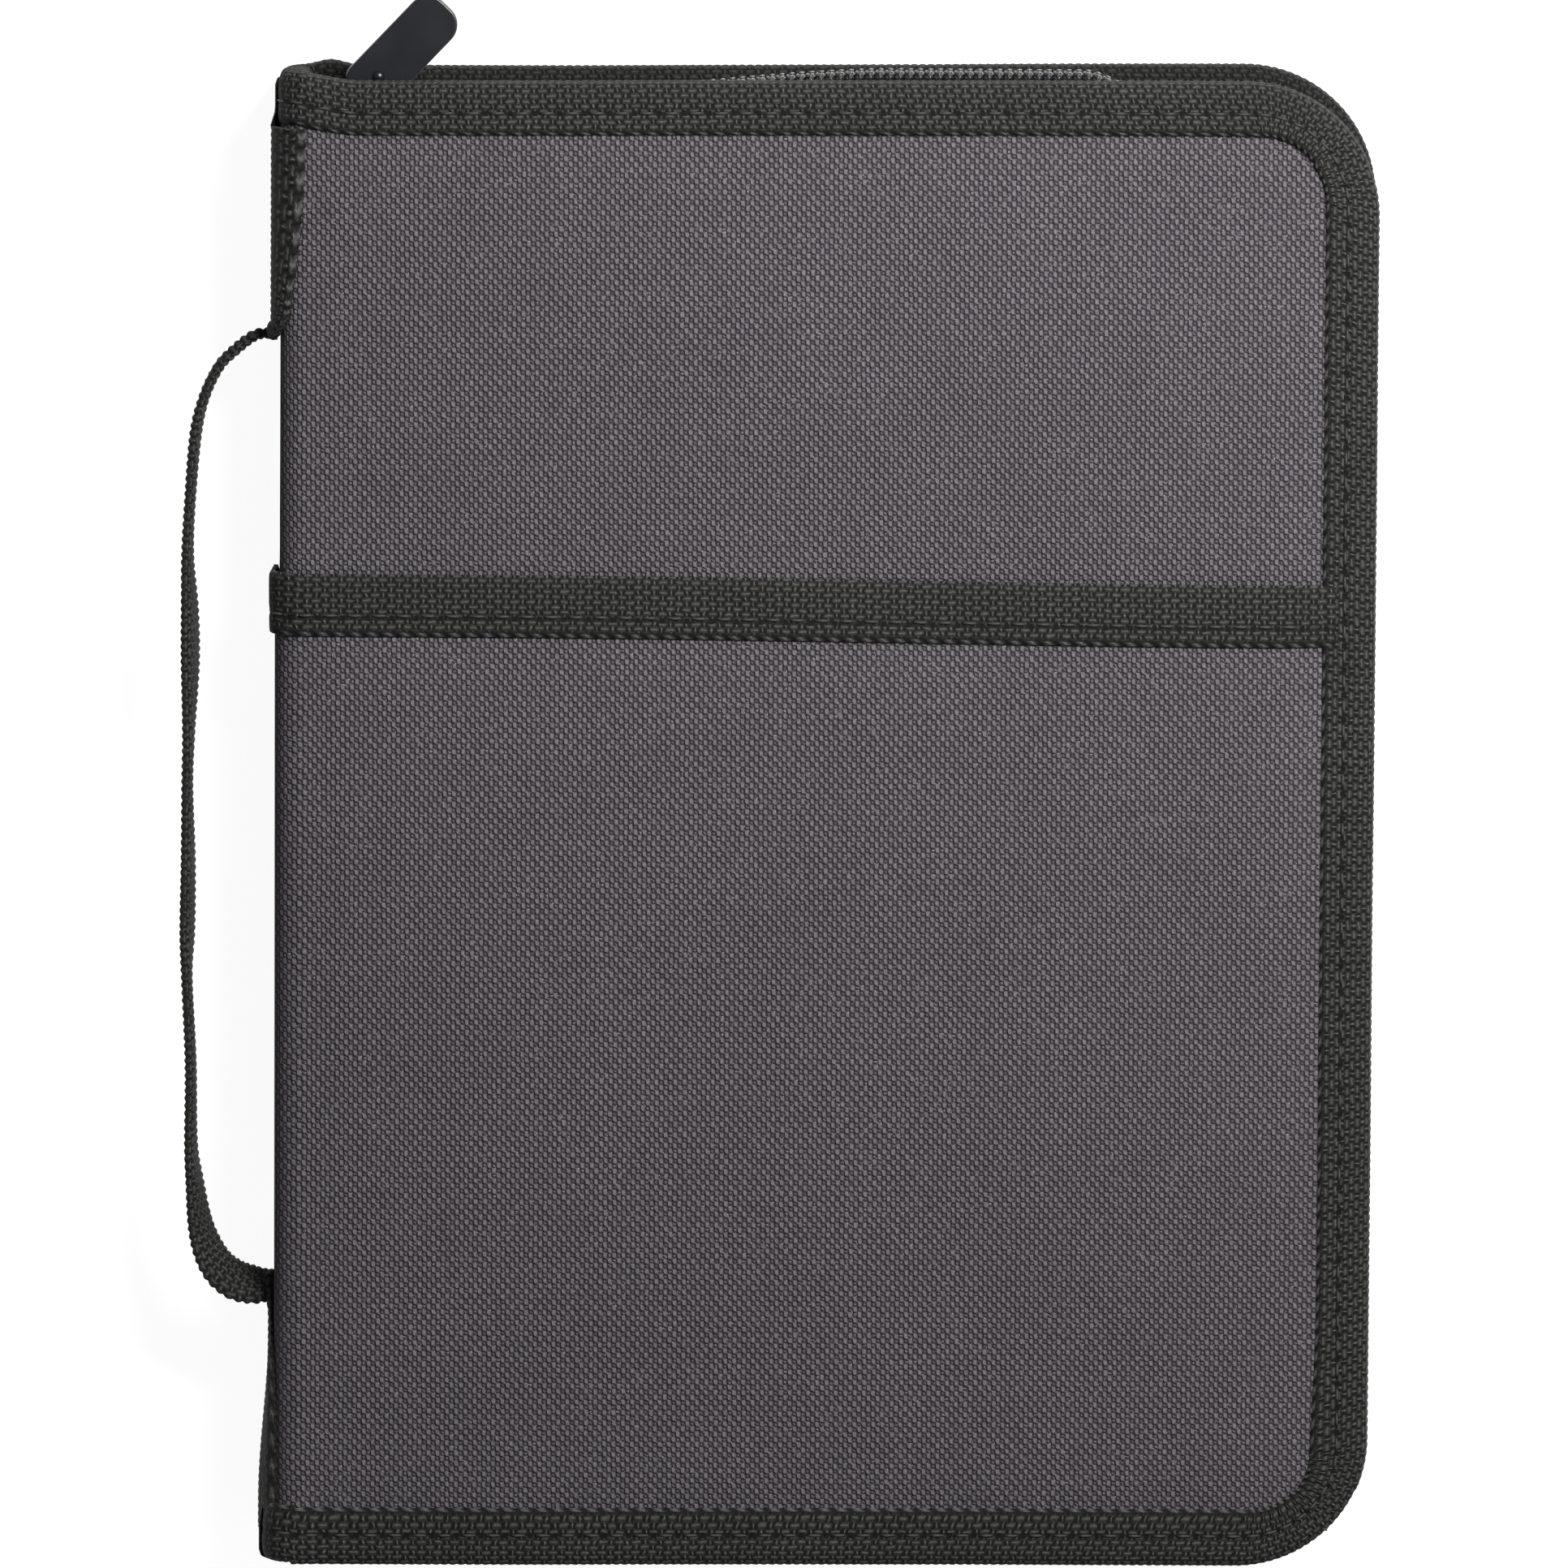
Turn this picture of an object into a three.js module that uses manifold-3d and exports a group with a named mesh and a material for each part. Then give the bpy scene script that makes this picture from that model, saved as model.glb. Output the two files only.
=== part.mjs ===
// A refillable journal in a zip-around case with a webbing handle on its spine.
// The closed case lies on its back cover. X runs from the spine to the fore edge, Y to the top edge,
// and Z out of the front cover. The origin is the centre of the back cover's outer face.
// Cover layers are given as a depth below the outer face, edge layers as an inset from the edge.
import * as THREE from 'three';
import { mergeVertices } from 'three/addons/utils/BufferGeometryUtils.js';
import Module from 'manifold-3d';

const wasm = await Module();
wasm.setup();

// Driving dimensions of the case, in millimetres
const caseWidth = 165;
const caseHeight = 225.6;
const caseThickness = 26;
const cornerRadius = 20;
const foldRadius = 4;
const sharpFold = 0.8;
const gap = 0.3;

// Sheet thicknesses
const canvas = 0.5;
const foam = 1.0;
const board = 1.4;
const lining = 0.4;
const sleeveCloth = 0.4;
const tape = 0.5;

// Binding tape round the edges
const bindingWidth = 8;
const bindingInnerRadius = 10;
const zipWallInset = 5;

// Zip
const zipSlot = 1.2;
const coilThickness = 1.6;
const coilRoot = 3.0;
const coilHead = 0.55;
const coilValley = 1.35;
const toothPitch = 4;
const zipTapeStart = 6.5;
const sliderPlace = 14.5;
const sliderLength = 10;
const sliderPlate = 1.0;
const sliderRearHalf = 4.0;
const sliderMouthHalf = 4.6;
const sliderLip = 0.7;
const wedgeThickness = 0.5;
const wedgeLength = 2;
const bailEye = 1.0;
const bailWall = 0.8;
const bailThickness = 1.6;
const coilClearance = 3.5;
const stopLength = 1.6;
const stopWidth = 2.4;

// Pull tab and the pin that carries it
const pinRadius = 0.6;
const pinHeadRadius = 1.3;
const pinHead = 0.6;
const tabReach = 14.9;
const tabWidth = 8.1;
const tabThickness = 1.6;
const tabTipRadius = 3.2;
const tabHole = 0.95;
const tabClearance = 0.6;
const tabBevel = 0.25;
const tabAngle = 46.5;

// Outer pocket on the front cover
const pocketMouthHeight = 141.8;
const mouthTapeWidth = 9.5;
const mouthLeg = 0.4;
const pocketCrown = 1.8;
const pocketCrownFall = 0.35;
const pocketLiftShare = 0.85;
const pocketSteps = 11;
const mouthTapeBend = 0.35;
const mouthTapeTurn = 4;

// Refill notebook and its sleeves
const refillSideRoom = 25;
const refillEndRoom = 9.5;
const refillCover = 1.5;
const refillSpineCloth = 0.8;
const refillSpineRoom = 0.4;
const pageInset = 2;
const leavesFromCover = 1;
const sleeveWidth = 86;

// Pen loop
const penBore = 8.8;
const penLoopWall = 0.8;
const penLoopLength = 30;
const penLoopFromRefill = 6;

// Handle on the spine
const webbingWidth = 9;
const webbing = 1.2;
const handleTop = 73.4;
const handleBottom = -72.7;
const handleFromFront = 9;
const handleSteps = 40;
const handleStandOff = 13.1;
const handleThickness = 1.5;
const handleRootHalf = 0.3;
const handleFlare = 6.5;

// Places that follow from the driving dimensions
const left = -caseWidth / 2;
const right = caseWidth / 2;
const half = caseHeight / 2;
const middle = caseThickness / 2;
const handleZ = caseThickness - handleFromFront;
const beyond = 2 * (caseWidth + caseHeight);
const foldOffset = foldRadius * (1 - Math.SQRT1_2);
const foldX = left + foldOffset;
const foldZ = foldOffset;

// Depths of the cover's layers below the outer face, each with its gap
const foamTop = canvas + gap;
const boardTop = foamTop + foam + gap;
const liningTop = boardTop + board + gap;
const liningFace = liningTop + lining;
const refillTop = liningFace + gap;
const sleeveTop = refillTop + refillCover + gap;
const pageTop = sleeveTop + sleeveCloth + gap;

// Depths of the layers that the binding holds together along the edge
const liningFlange = canvas + gap + canvas + gap;
const sleeveFlange = liningFlange + lining + gap;
const tapeFlange = sleeveFlange + sleeveCloth + gap;
const bindingLeg = tapeFlange + tape + gap;
const bindingDepth = bindingLeg + tape;

// Insets from the case's edge
const flangeInset = tape + gap;
const panelInset = bindingWidth + gap;
const panelRadius = bindingInnerRadius - gap;
const sleeveStep = bindingWidth - sleeveCloth;
const coilInset = zipWallInset - gap - coilThickness;
const plateInset = coilInset - gap - sliderPlate;
const innerPlateInset = zipWallInset + tape + gap;

// Turns a closed mesh into a solid for cutting and joining
function solidOf(geometry) {
  const bare = geometry.clone();
  bare.deleteAttribute('normal');
  bare.deleteAttribute('uv');
  const merged = mergeVertices(bare, 1e-5);
  return new wasm.Manifold(new wasm.Mesh({
    numProp: 3,
    vertProperties: new Float32Array(merged.attributes.position.array),
    triVerts: new Uint32Array(merged.index.array),
  }));
}

// Turns a solid back into geometry
function geometryOf(solid) {
  const mesh = solid.getMesh();
  const geometry = new THREE.BufferGeometry();
  const points = new Float32Array(mesh.numVert * 3);
  for (let i = 0; i < mesh.numVert; i += 1) {
    for (let k = 0; k < 3; k += 1) {
      points[3 * i + k] = mesh.vertProperties[mesh.numProp * i + k];
    }
  }
  geometry.setAttribute('position', new THREE.BufferAttribute(points, 3));
  geometry.setIndex(new THREE.BufferAttribute(new Uint32Array(mesh.triVerts), 1));
  return geometry;
}

// A prism that stands on a plan drawn in X and Y
function uprightPrism(shape, low, high, curveSegments = 8) {
  const geometry = new THREE.ExtrudeGeometry(shape, { depth: high - low, bevelEnabled: false, curveSegments });
  return solidOf(geometry.translate(0, 0, low));
}

// A prism along Y of a section drawn in X and Z
function sidePrism(shape, low, high, curveSegments = 5) {
  const geometry = new THREE.ExtrudeGeometry(shape, { depth: high - low, bevelEnabled: false, curveSegments });
  return solidOf(geometry.rotateX(Math.PI / 2).translate(0, high, 0));
}

// A plain block between two corners
function block(x0, y0, z0, x1, y1, z1) {
  const geometry = new THREE.BoxGeometry(x1 - x0, y1 - y0, z1 - z0);
  return solidOf(geometry.translate((x0 + x1) / 2, (y0 + y1) / 2, (z0 + z1) / 2));
}

function polygon(points) {
  return new THREE.Shape(points.map(([x, y]) => new THREE.Vector2(x, y)));
}

// Plan of the case at an inset from its three free edges, open-ended past the spine
function planShape(inset, radius) {
  const x = right - inset;
  const y = half - inset;
  const shape = new THREE.Shape();
  shape.moveTo(-beyond, -y);
  shape.lineTo(x - radius, -y);
  shape.absarc(x - radius, -y + radius, radius, -Math.PI / 2, 0, false);
  shape.lineTo(x, y - radius);
  shape.absarc(x - radius, y - radius, radius, 0, Math.PI / 2, false);
  shape.lineTo(-beyond, y);
  shape.closePath();
  return shape;
}

function plan(inset, radius) {
  return uprightPrism(planShape(inset, radius), -caseThickness, 2 * caseThickness);
}

// Plan whose corners keep an even distance from the case's edge
function insetPlan(inset) {
  return plan(inset, cornerRadius - inset);
}

// Section of the closed case at a depth below its outer face, round at the two folds
function sectionSolid(depth) {
  const x = left + depth;
  const low = depth;
  const high = caseThickness - depth;
  const radius = foldRadius - depth;
  const shape = new THREE.Shape();
  shape.moveTo(beyond, low);
  shape.lineTo(beyond, high);
  if (radius > sharpFold) {
    shape.lineTo(x + radius, high);
    shape.absarc(x + radius, high - radius, radius, Math.PI / 2, Math.PI, false);
    shape.lineTo(x, low + radius);
    shape.absarc(x + radius, low + radius, radius, Math.PI, 1.5 * Math.PI, false);
  } else {
    shape.lineTo(x, high);
    shape.lineTo(x, low);
  }
  shape.closePath();
  return sidePrism(shape, -caseHeight, caseHeight);
}

function layer(top, thickness) {
  return sectionSolid(top).subtract(sectionSolid(top + thickness));
}

// The share of the case that belongs to each cover or to the spine, set back from the fold
function share(side, setBack) {
  const shift = setBack * Math.SQRT2;
  const reach = middle - foldZ;
  const low = foldZ + beyond;
  let points = [];
  if (side === 'spine') {
    const tip = foldX - shift;
    points = [[tip + reach, middle], [tip - low, caseThickness + beyond], [-2 * beyond, caseThickness + beyond],
      [-2 * beyond, -beyond], [tip - low, -beyond]];
  } else {
    const tip = foldX + shift;
    points = [[tip + reach, middle], [tip - low, -beyond], [2 * beyond, -beyond], [2 * beyond, middle]];
    if (side === 'front') {
      points = points.map(([x, z]) => [x, caseThickness - z]);
    }
  }
  const shape = polygon(points);
  return sidePrism(shape, -caseHeight, caseHeight);
}

const foldGap = gap / 2;
const shares = {
  back: share('back', foldGap),
  spine: share('spine', foldGap),
  front: share('front', foldGap),
};

const edgePlan = insetPlan(0);
const flangePlan = insetPlan(flangeInset);
const panelPlan = plan(panelInset, panelRadius);

// Canvas: flat inside the binding, stepped inwards under it
function canvasSheet(side) {
  const inner = plan(panelInset + canvas, panelRadius - canvas);
  const face = layer(0, canvas).intersect(panelPlan);
  const riser = layer(0, foamTop + canvas).intersect(panelPlan.subtract(inner));
  const flange = layer(foamTop, canvas).intersect(flangePlan.subtract(inner));
  return face.add(riser).add(flange).intersect(shares[side]);
}

// Lining: flat over the board, stepped outwards under the binding
function liningSheet(side) {
  const outer = insetPlan(panelInset);
  const inner = insetPlan(panelInset + lining);
  const face = layer(liningTop, lining).intersect(outer);
  const riser = layer(liningFlange, liningFace - liningFlange).intersect(outer.subtract(inner));
  const flange = layer(liningFlange, lining).intersect(flangePlan.subtract(inner));
  return face.add(riser).add(flange).intersect(shares[side]);
}

const stuffingInset = panelInset + canvas + gap;
const stuffingPlan = insetPlan(stuffingInset);
const foamSetBack = 0.6;
const boardSetBack = 2;

function foamSheet(side) {
  return layer(foamTop, foam).intersect(stuffingPlan).intersect(share(side, foamSetBack));
}

function boardSheet(side) {
  return layer(boardTop, board).intersect(stuffingPlan).intersect(share(side, boardSetBack));
}

// Binding tape folded over the edge: a wide outer leg, the fold, and a short leg up to the zip's wall
function bindingTape(side) {
  const legPlan = plan(bindingWidth, bindingInnerRadius);
  const foldPlan = insetPlan(tape);
  const shortPlan = insetPlan(zipWallInset - gap);
  const outerLeg = layer(0, tape).intersect(edgePlan.subtract(legPlan));
  const fold = layer(0, bindingDepth).intersect(edgePlan.subtract(foldPlan));
  const shortLeg = layer(bindingLeg, tape).intersect(edgePlan.subtract(shortPlan));
  return outerLeg.add(fold).add(shortLeg).intersect(shares[side]);
}

// Mirrors a solid of the back cover into the front cover
function mirrored(solid) {
  return solid.scale([1, 1, -1]).translate([0, 0, caseThickness]);
}

// Zip tape of the back cover: a flange in the binding and a wall up to the slot
function zipTape() {
  const wallOuter = insetPlan(zipWallInset);
  const wallInner = insetPlan(zipWallInset + tape);
  const flange = block(-beyond, -half, tapeFlange, beyond, half, tapeFlange + tape)
    .intersect(flangePlan.subtract(wallInner));
  const wall = block(-beyond, -half, tapeFlange, beyond, half, middle - zipSlot / 2)
    .intersect(wallOuter.subtract(wallInner));
  const run = block(left + zipTapeStart, -half, 0, beyond, half, caseThickness);
  return flange.add(wall).intersect(run);
}

// Joins a row of point rings into one closed body
function skin(rings, closed = false) {
  const sides = rings[0].length;
  const points = rings.flat(2);
  const faces = [];
  const last = closed ? rings.length : rings.length - 1;
  for (let i = 0; i < last; i += 1) {
    const a = i * sides;
    const b = ((i + 1) % rings.length) * sides;
    for (let k = 0; k < sides; k += 1) {
      const n = (k + 1) % sides;
      faces.push(a + k, b + n, b + k, a + k, a + n, b + n);
    }
  }
  if (!closed) {
    const end = (rings.length - 1) * sides;
    for (let k = 1; k < sides - 1; k += 1) {
      faces.push(0, k + 1, k, end, end + k, end + k + 1);
    }
  }
  const geometry = new THREE.BufferGeometry();
  geometry.setAttribute('position', new THREE.BufferAttribute(new Float32Array(points), 3));
  geometry.setIndex(faces);
  return geometry;
}

// Place and outward direction at a distance along the zip, from the slider round to the bottom end
const coilLine = coilInset + coilThickness / 2;
const coilCorner = cornerRadius - coilLine;
const cornerX = right - cornerRadius;
const cornerY = half - cornerRadius;
const sliderX = left + sliderPlace;
const coilStartX = sliderX + sliderLength / 2 + coilClearance;
const coilEndX = left + sliderPlace;
const topRun = cornerX - coilStartX;
const arcRun = coilCorner * Math.PI / 2;
const sideRun = 2 * cornerY;
const bottomRun = cornerX - coilEndX;
const coilRun = topRun + arcRun + sideRun + arcRun + bottomRun;

function alongZip(distance) {
  const arcTwo = topRun + arcRun + sideRun;
  if (distance < topRun) {
    return { x: coilStartX + distance, y: cornerY, angle: Math.PI / 2 };
  }
  if (distance < topRun + arcRun) {
    return { x: cornerX, y: cornerY, angle: Math.PI / 2 - (distance - topRun) / coilCorner };
  }
  if (distance < arcTwo) {
    return { x: cornerX, y: cornerY - (distance - topRun - arcRun), angle: 0 };
  }
  if (distance < arcTwo + arcRun) {
    return { x: cornerX, y: -cornerY, angle: -(distance - arcTwo) / coilCorner };
  }
  return { x: cornerX - (distance - arcTwo - arcRun), y: -cornerY, angle: -Math.PI / 2 };
}

// One row of coil teeth, whose heads stop short of the slot that the slider's wedge runs in
function coilRow(phase, isFront) {
  const count = Math.floor(coilRun / toothPitch);
  const pitch = coilRun / count;
  const rings = [];
  for (let i = 0; i <= 2 * count; i += 1) {
    const spot = alongZip(Math.min(i * pitch / 2, coilRun));
    const reach = (i + phase) % 2 === 0 ? coilHead : coilValley;
    const heights = [coilRoot, reach].map((h) => (isFront ? middle + h : middle - h));
    const radii = [coilCorner - coilThickness / 2, coilCorner + coilThickness / 2];
    const ring = [[radii[0], heights[0]], [radii[1], heights[0]], [radii[1], heights[1]], [radii[0], heights[1]]];
    const placed = ring.map(([radius, z]) => [
      spot.x + radius * Math.cos(spot.angle),
      spot.y + radius * Math.sin(spot.angle),
      z,
    ]);
    rings.push(isFront ? placed.reverse() : placed);
  }
  return skin(rings);
}

// End stops: a folded metal bar on the coil's line of each tape
function zipStop(x, isTop, isFront) {
  const y = half - coilInset;
  const z0 = isFront ? middle + coilHead : middle - coilHead - stopWidth;
  const solid = block(x, y - coilThickness, z0, x + stopLength, y, z0 + stopWidth);
  return isTop ? solid : solid.scale([1, -1, 1]);
}

// Slider: two tapered plates with lips, joined by a thin wedge in the zip's slot, and a bail on top
const plateTop = half - plateInset;
const bailY = plateTop + pinHeadRadius + gap;

function sliderBody() {
  const h = sliderLength / 2;
  const outline = (extra) => polygon([
    [sliderX - h, middle - sliderMouthHalf + extra], [sliderX - h / 3, middle - sliderMouthHalf + extra],
    [sliderX + h / 3, middle - sliderRearHalf + extra], [sliderX + h, middle - sliderRearHalf + extra],
    [sliderX + h, middle + sliderRearHalf - extra], [sliderX + h / 3, middle + sliderRearHalf - extra],
    [sliderX - h / 3, middle + sliderMouthHalf - extra], [sliderX - h, middle + sliderMouthHalf - extra],
  ]);
  const lipEnd = half - zipWallInset + gap;
  const outer = sidePrism(outline(0), lipEnd, plateTop);
  const channel = sidePrism(outline(sliderLip), lipEnd - 1, plateTop - sliderPlate);
  const run = block(sliderX - sliderLength, lipEnd - 1, middle - sliderRearHalf + sliderLip,
    sliderX + sliderLength, plateTop - sliderPlate, middle + sliderRearHalf - sliderLip);
  const innerTop = half - innerPlateInset;
  const inner = sidePrism(outline(0), innerTop - sliderPlate, innerTop);
  const wedge = block(sliderX - h, innerTop - sliderPlate / 2, middle - wedgeThickness / 2,
    sliderX - h + wedgeLength, plateTop - sliderPlate / 2, middle + wedgeThickness / 2);
  const ring = uprightPrism(bailShape(), middle - bailThickness / 2, middle + bailThickness / 2, 6)
    .intersect(block(sliderX - h, plateTop - sliderPlate / 2, 0, sliderX + h, beyond, caseThickness));
  return outer.subtract(channel).subtract(run).add(inner).add(wedge).add(ring);
}

function bailShape() {
  const shape = new THREE.Shape();
  const outer = bailEye + bailWall;
  shape.absarc(sliderX, bailY, outer, 0, Math.PI, false);
  shape.lineTo(sliderX - outer, plateTop - sliderPlate);
  shape.lineTo(sliderX + outer, plateTop - sliderPlate);
  shape.closePath();
  const eye = new THREE.Path();
  eye.absarc(sliderX, bailY, bailEye, 0, 2 * Math.PI, true);
  shape.holes.push(eye);
  return shape;
}

// Pin through the bail's eye and the tab's hole, with a head at each end, drawn along Z from the eye
const tabLow = sliderMouthHalf + tabClearance;
const tabHigh = tabLow + tabThickness;

function pullPin() {
  const disc = (radius) => new THREE.Shape().absarc(0, 0, radius, 0, 2 * Math.PI, false);
  const low = -bailThickness / 2 - gap;
  const high = tabHigh + gap;
  const shank = uprightPrism(disc(pinRadius), low - pinHead / 2, high + pinHead / 2, 8);
  const nearHead = uprightPrism(disc(pinHeadRadius), low - pinHead, low, 8);
  const farHead = uprightPrism(disc(pinHeadRadius), high, high + pinHead, 8);
  return geometryOf(shank.add(nearHead).add(farHead));
}

// Pull tab: a flat blade beside the slider with a round root about the pin, drawn along X from the eye
function pullTab() {
  const w = tabWidth / 2;
  const corner = tabReach - tabTipRadius;
  const shape = new THREE.Shape();
  shape.moveTo(0, -w);
  shape.lineTo(corner, -w);
  shape.absarc(corner, -w + tabTipRadius, tabTipRadius, -Math.PI / 2, 0, false);
  shape.absarc(corner, w - tabTipRadius, tabTipRadius, 0, Math.PI / 2, false);
  shape.lineTo(0, w);
  shape.absarc(0, 0, w, Math.PI / 2, 1.5 * Math.PI, false);
  const hole = new THREE.Path();
  hole.absarc(0, 0, tabHole, 0, 2 * Math.PI, true);
  shape.holes.push(hole);
  const depth = tabThickness - 2 * tabBevel;
  const bevel = { bevelThickness: tabBevel, bevelSize: tabBevel, bevelOffset: -tabBevel, bevelSegments: 1 };
  return new THREE.ExtrudeGeometry(shape, { depth, ...bevel, curveSegments: 6 })
    .translate(0, 0, tabLow + tabBevel);
}

// Outer pocket: a softly crowned sheet that lifts towards its mouth, where tape is folded over it
const pocketBottom = -(half - panelInset);
const pocketMouth = -half + pocketMouthHeight;
const pocketTop = pocketMouth + mouthTapeWidth - tape - gap;
const pocketLeft = left + foldRadius;
const pocketRight = right - panelInset;
const mouthLift = mouthLeg + gap;

function pocketPanel() {
  const width = pocketRight - pocketLeft;
  const height = pocketTop - pocketBottom;
  const geometry = new THREE.BoxGeometry(width, height, canvas, pocketSteps, pocketSteps, 1);
  const spots = geometry.attributes.position;
  for (let i = 0; i < spots.count; i += 1) {
    const u = spots.getX(i) / (width / 2);
    const v = spots.getY(i) / (height / 2);
    const fromBottom = (v + 1) / 2;
    const crown = pocketCrown * (1 - u * u) * (1 - v * v) * (1 - fromBottom * pocketCrownFall);
    const lift = mouthLift * THREE.MathUtils.smoothstep(fromBottom, 0, pocketLiftShare);
    spots.setZ(i, spots.getZ(i) + crown + lift);
  }
  geometry.translate((pocketLeft + pocketRight) / 2, (pocketBottom + pocketTop) / 2,
    caseThickness + gap + canvas / 2);
  const cornerCut = uprightPrism(planShape(panelInset, panelRadius), caseThickness, 2 * caseThickness);
  return solidOf(geometry).intersect(cornerCut);
}

function mouthBinding() {
  const low = caseThickness + gap;
  const inner = low + mouthLeg;
  const outer = inner + gap + canvas + gap;
  const top = pocketMouth + mouthTapeWidth;
  const shape = new THREE.Shape();
  shape.moveTo(pocketMouth, outer + mouthTapeBend);
  shape.lineTo(pocketMouth, outer + mouthTapeBend + tape);
  shape.lineTo(top, outer + tape);
  shape.lineTo(top, low);
  shape.lineTo(pocketTop - mouthTapeTurn, low);
  shape.lineTo(pocketTop - mouthTapeTurn, inner);
  shape.lineTo(top - tape, inner);
  shape.lineTo(top - tape, outer);
  shape.closePath();
  const geometry = new THREE.ExtrudeGeometry(shape, { depth: pocketRight - pocketLeft, bevelEnabled: false });
  geometry.applyMatrix4(new THREE.Matrix4().set(0, 0, 1, pocketLeft, 1, 0, 0, 0, 0, 1, 0, 0, 0, 0, 0, 1));
  return solidOf(geometry);
}

// Refill notebook: hard covers in the sleeves, a cloth spine, and two blocks of leaves
const refillWidth = caseWidth - refillSideRoom;
const refillHeight = caseHeight - 2 * refillEndRoom;
const pageWidth = refillWidth - 2 * pageInset;
const pageHeight = refillHeight - 2 * pageInset;
const refillSpineX = left + liningFace + refillSpineRoom;
const refillLeft = refillSpineX + refillSpineCloth + gap;
const refillRight = refillLeft + refillWidth;
const leavesLeft = refillLeft + leavesFromCover;

function refillBoard() {
  const y = refillHeight / 2;
  return block(refillLeft, -y, refillTop, refillRight, y, refillTop + refillCover);
}

function leafBlock(low, high) {
  const y = pageHeight / 2;
  return block(leavesLeft, -y, low, leavesLeft + pageWidth, y, high);
}

// Sleeve in the back cover: a raised panel over the refill's cover, a ledge on the lining, a sewn flange
function sleeve() {
  const mouthX = refillRight - sleeveWidth;
  const wrap = gap + sleeveCloth;
  const y = refillHeight / 2 + wrap;
  const x = refillRight + wrap;
  const inY = y - sleeveCloth;
  const inX = x - sleeveCloth;
  const stepPlan = insetPlan(sleeveStep);
  const stepInner = insetPlan(bindingWidth);
  const band = (top, bottom) => block(-beyond, -half, top, beyond, half, bottom);
  const panel = block(mouthX, -y, sleeveTop, x, y, sleeveTop + sleeveCloth);
  const rise = block(mouthX, -y, refillTop, x, y, sleeveTop + sleeveCloth)
    .subtract(block(mouthX - 1, -inY, refillTop - 1, inX, inY, sleeveTop + 2));
  const ledge = band(refillTop, refillTop + sleeveCloth).intersect(stepPlan)
    .subtract(block(-beyond, -inY, 0, inX, inY, caseThickness));
  const step = band(sleeveFlange, refillTop + sleeveCloth).intersect(stepPlan.subtract(stepInner));
  const flange = band(sleeveFlange, sleeveFlange + sleeveCloth).intersect(flangePlan.subtract(stepInner));
  const run = block(mouthX, -half, 0, beyond, half, caseThickness);
  return panel.add(rise).add(ledge.add(step).add(flange).intersect(run));
}

// Elastic pen loop on the front cover, between the refill's fore edge and the zip's wall
function penLoop() {
  const outer = penBore / 2 + penLoopWall;
  const x = refillRight + penLoopFromRefill;
  const root = caseThickness - refillTop - sleeveCloth - gap;
  const z = root - outer;
  const shape = new THREE.Shape();
  shape.absarc(x, z, outer, 0, 2 * Math.PI, false);
  const bore = new THREE.Path();
  bore.absarc(x, z, penBore / 2, 0, 2 * Math.PI, true);
  shape.holes.push(bore);
  const tail = block(x - outer, -penLoopLength / 2, root - penLoopWall, x + outer, penLoopLength / 2, root);
  const hollow = sidePrism(new THREE.Shape().absarc(x, z, penBore / 2, 0, 2 * Math.PI, false),
    -penLoopLength, penLoopLength, 10);
  return sidePrism(shape, -penLoopLength / 2, penLoopLength / 2, 10).add(tail.subtract(hollow));
}

// Webbing sewn flat along the spine, from the binding to where the handle leaves it
const anchorEnd = half - panelInset;

function handleAnchor(low, high) {
  const face = left - gap;
  const w = webbingWidth / 2;
  return block(face - webbing, low, handleZ - w, face, high, handleZ + w);
}

// Free handle: flat webbing that is gathered at its two roots and twists a little on its way.
// Each step gives the share of the chord, the share of the stand-off and the twist in degrees.
const handleRoute = [
  [0, 0.025, 0], [0.004, 0.2, 0], [0.02, 0.47, 4], [0.05, 0.73, 8], [0.1, 0.89, 8], [0.18, 0.965, 4],
  [0.32, 0.965, 12], [0.45, 0.98, 16], [0.56, 1, 6], [0.66, 1, 2], [0.78, 0.97, 0], [0.87, 0.92, 6],
  [0.93, 0.79, 14], [0.962, 0.6, 20], [0.978, 0.4, 16], [0.99, 0.2, 6], [1, 0.025, 0],
];
const handleRootX = left - gap - webbing - gap;

function handleStrap() {
  const chord = handleTop - handleBottom;
  const spots = handleRoute.map(([along, off]) => new THREE.Vector3(
    handleRootX - off * (handleStandOff - webbing - 2 * gap), handleTop - along * chord, handleZ));
  const curve = new THREE.CatmullRomCurve3(spots, false, 'centripetal');
  const twists = handleRoute.map(([, , twist]) => THREE.MathUtils.degToRad(twist));
  const rings = [];
  for (let i = 0; i <= handleSteps; i += 1) {
    const share = i / handleSteps;
    const spot = curve.getPointAt(share);
    const along = curve.getTangentAt(share);
    const place = curve.getUtoTmapping(share) * (twists.length - 1);
    const from = Math.min(Math.floor(place), twists.length - 2);
    const twist = THREE.MathUtils.lerp(twists[from], twists[from + 1], place - from);
    const side = new THREE.Vector3(0, 0, 1);
    const normal = new THREE.Vector3().crossVectors(along, side).normalize();
    const across = side.applyAxisAngle(along, twist);
    normal.applyAxisAngle(along, twist);
    const off = handleRootX - spot.x;
    const w = THREE.MathUtils.lerp(handleRootHalf, webbingWidth / 2, Math.min(off / handleFlare, 1));
    const t = handleThickness / 2;
    rings.push([[w, t], [-w, t], [-w, -t], [w, -t]].map(([a, n]) => [
      spot.x + across.x * a + normal.x * n,
      spot.y + across.y * a + normal.y * n,
      spot.z + across.z * a + normal.z * n,
    ]));
  }
  return skin(rings);
}

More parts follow.
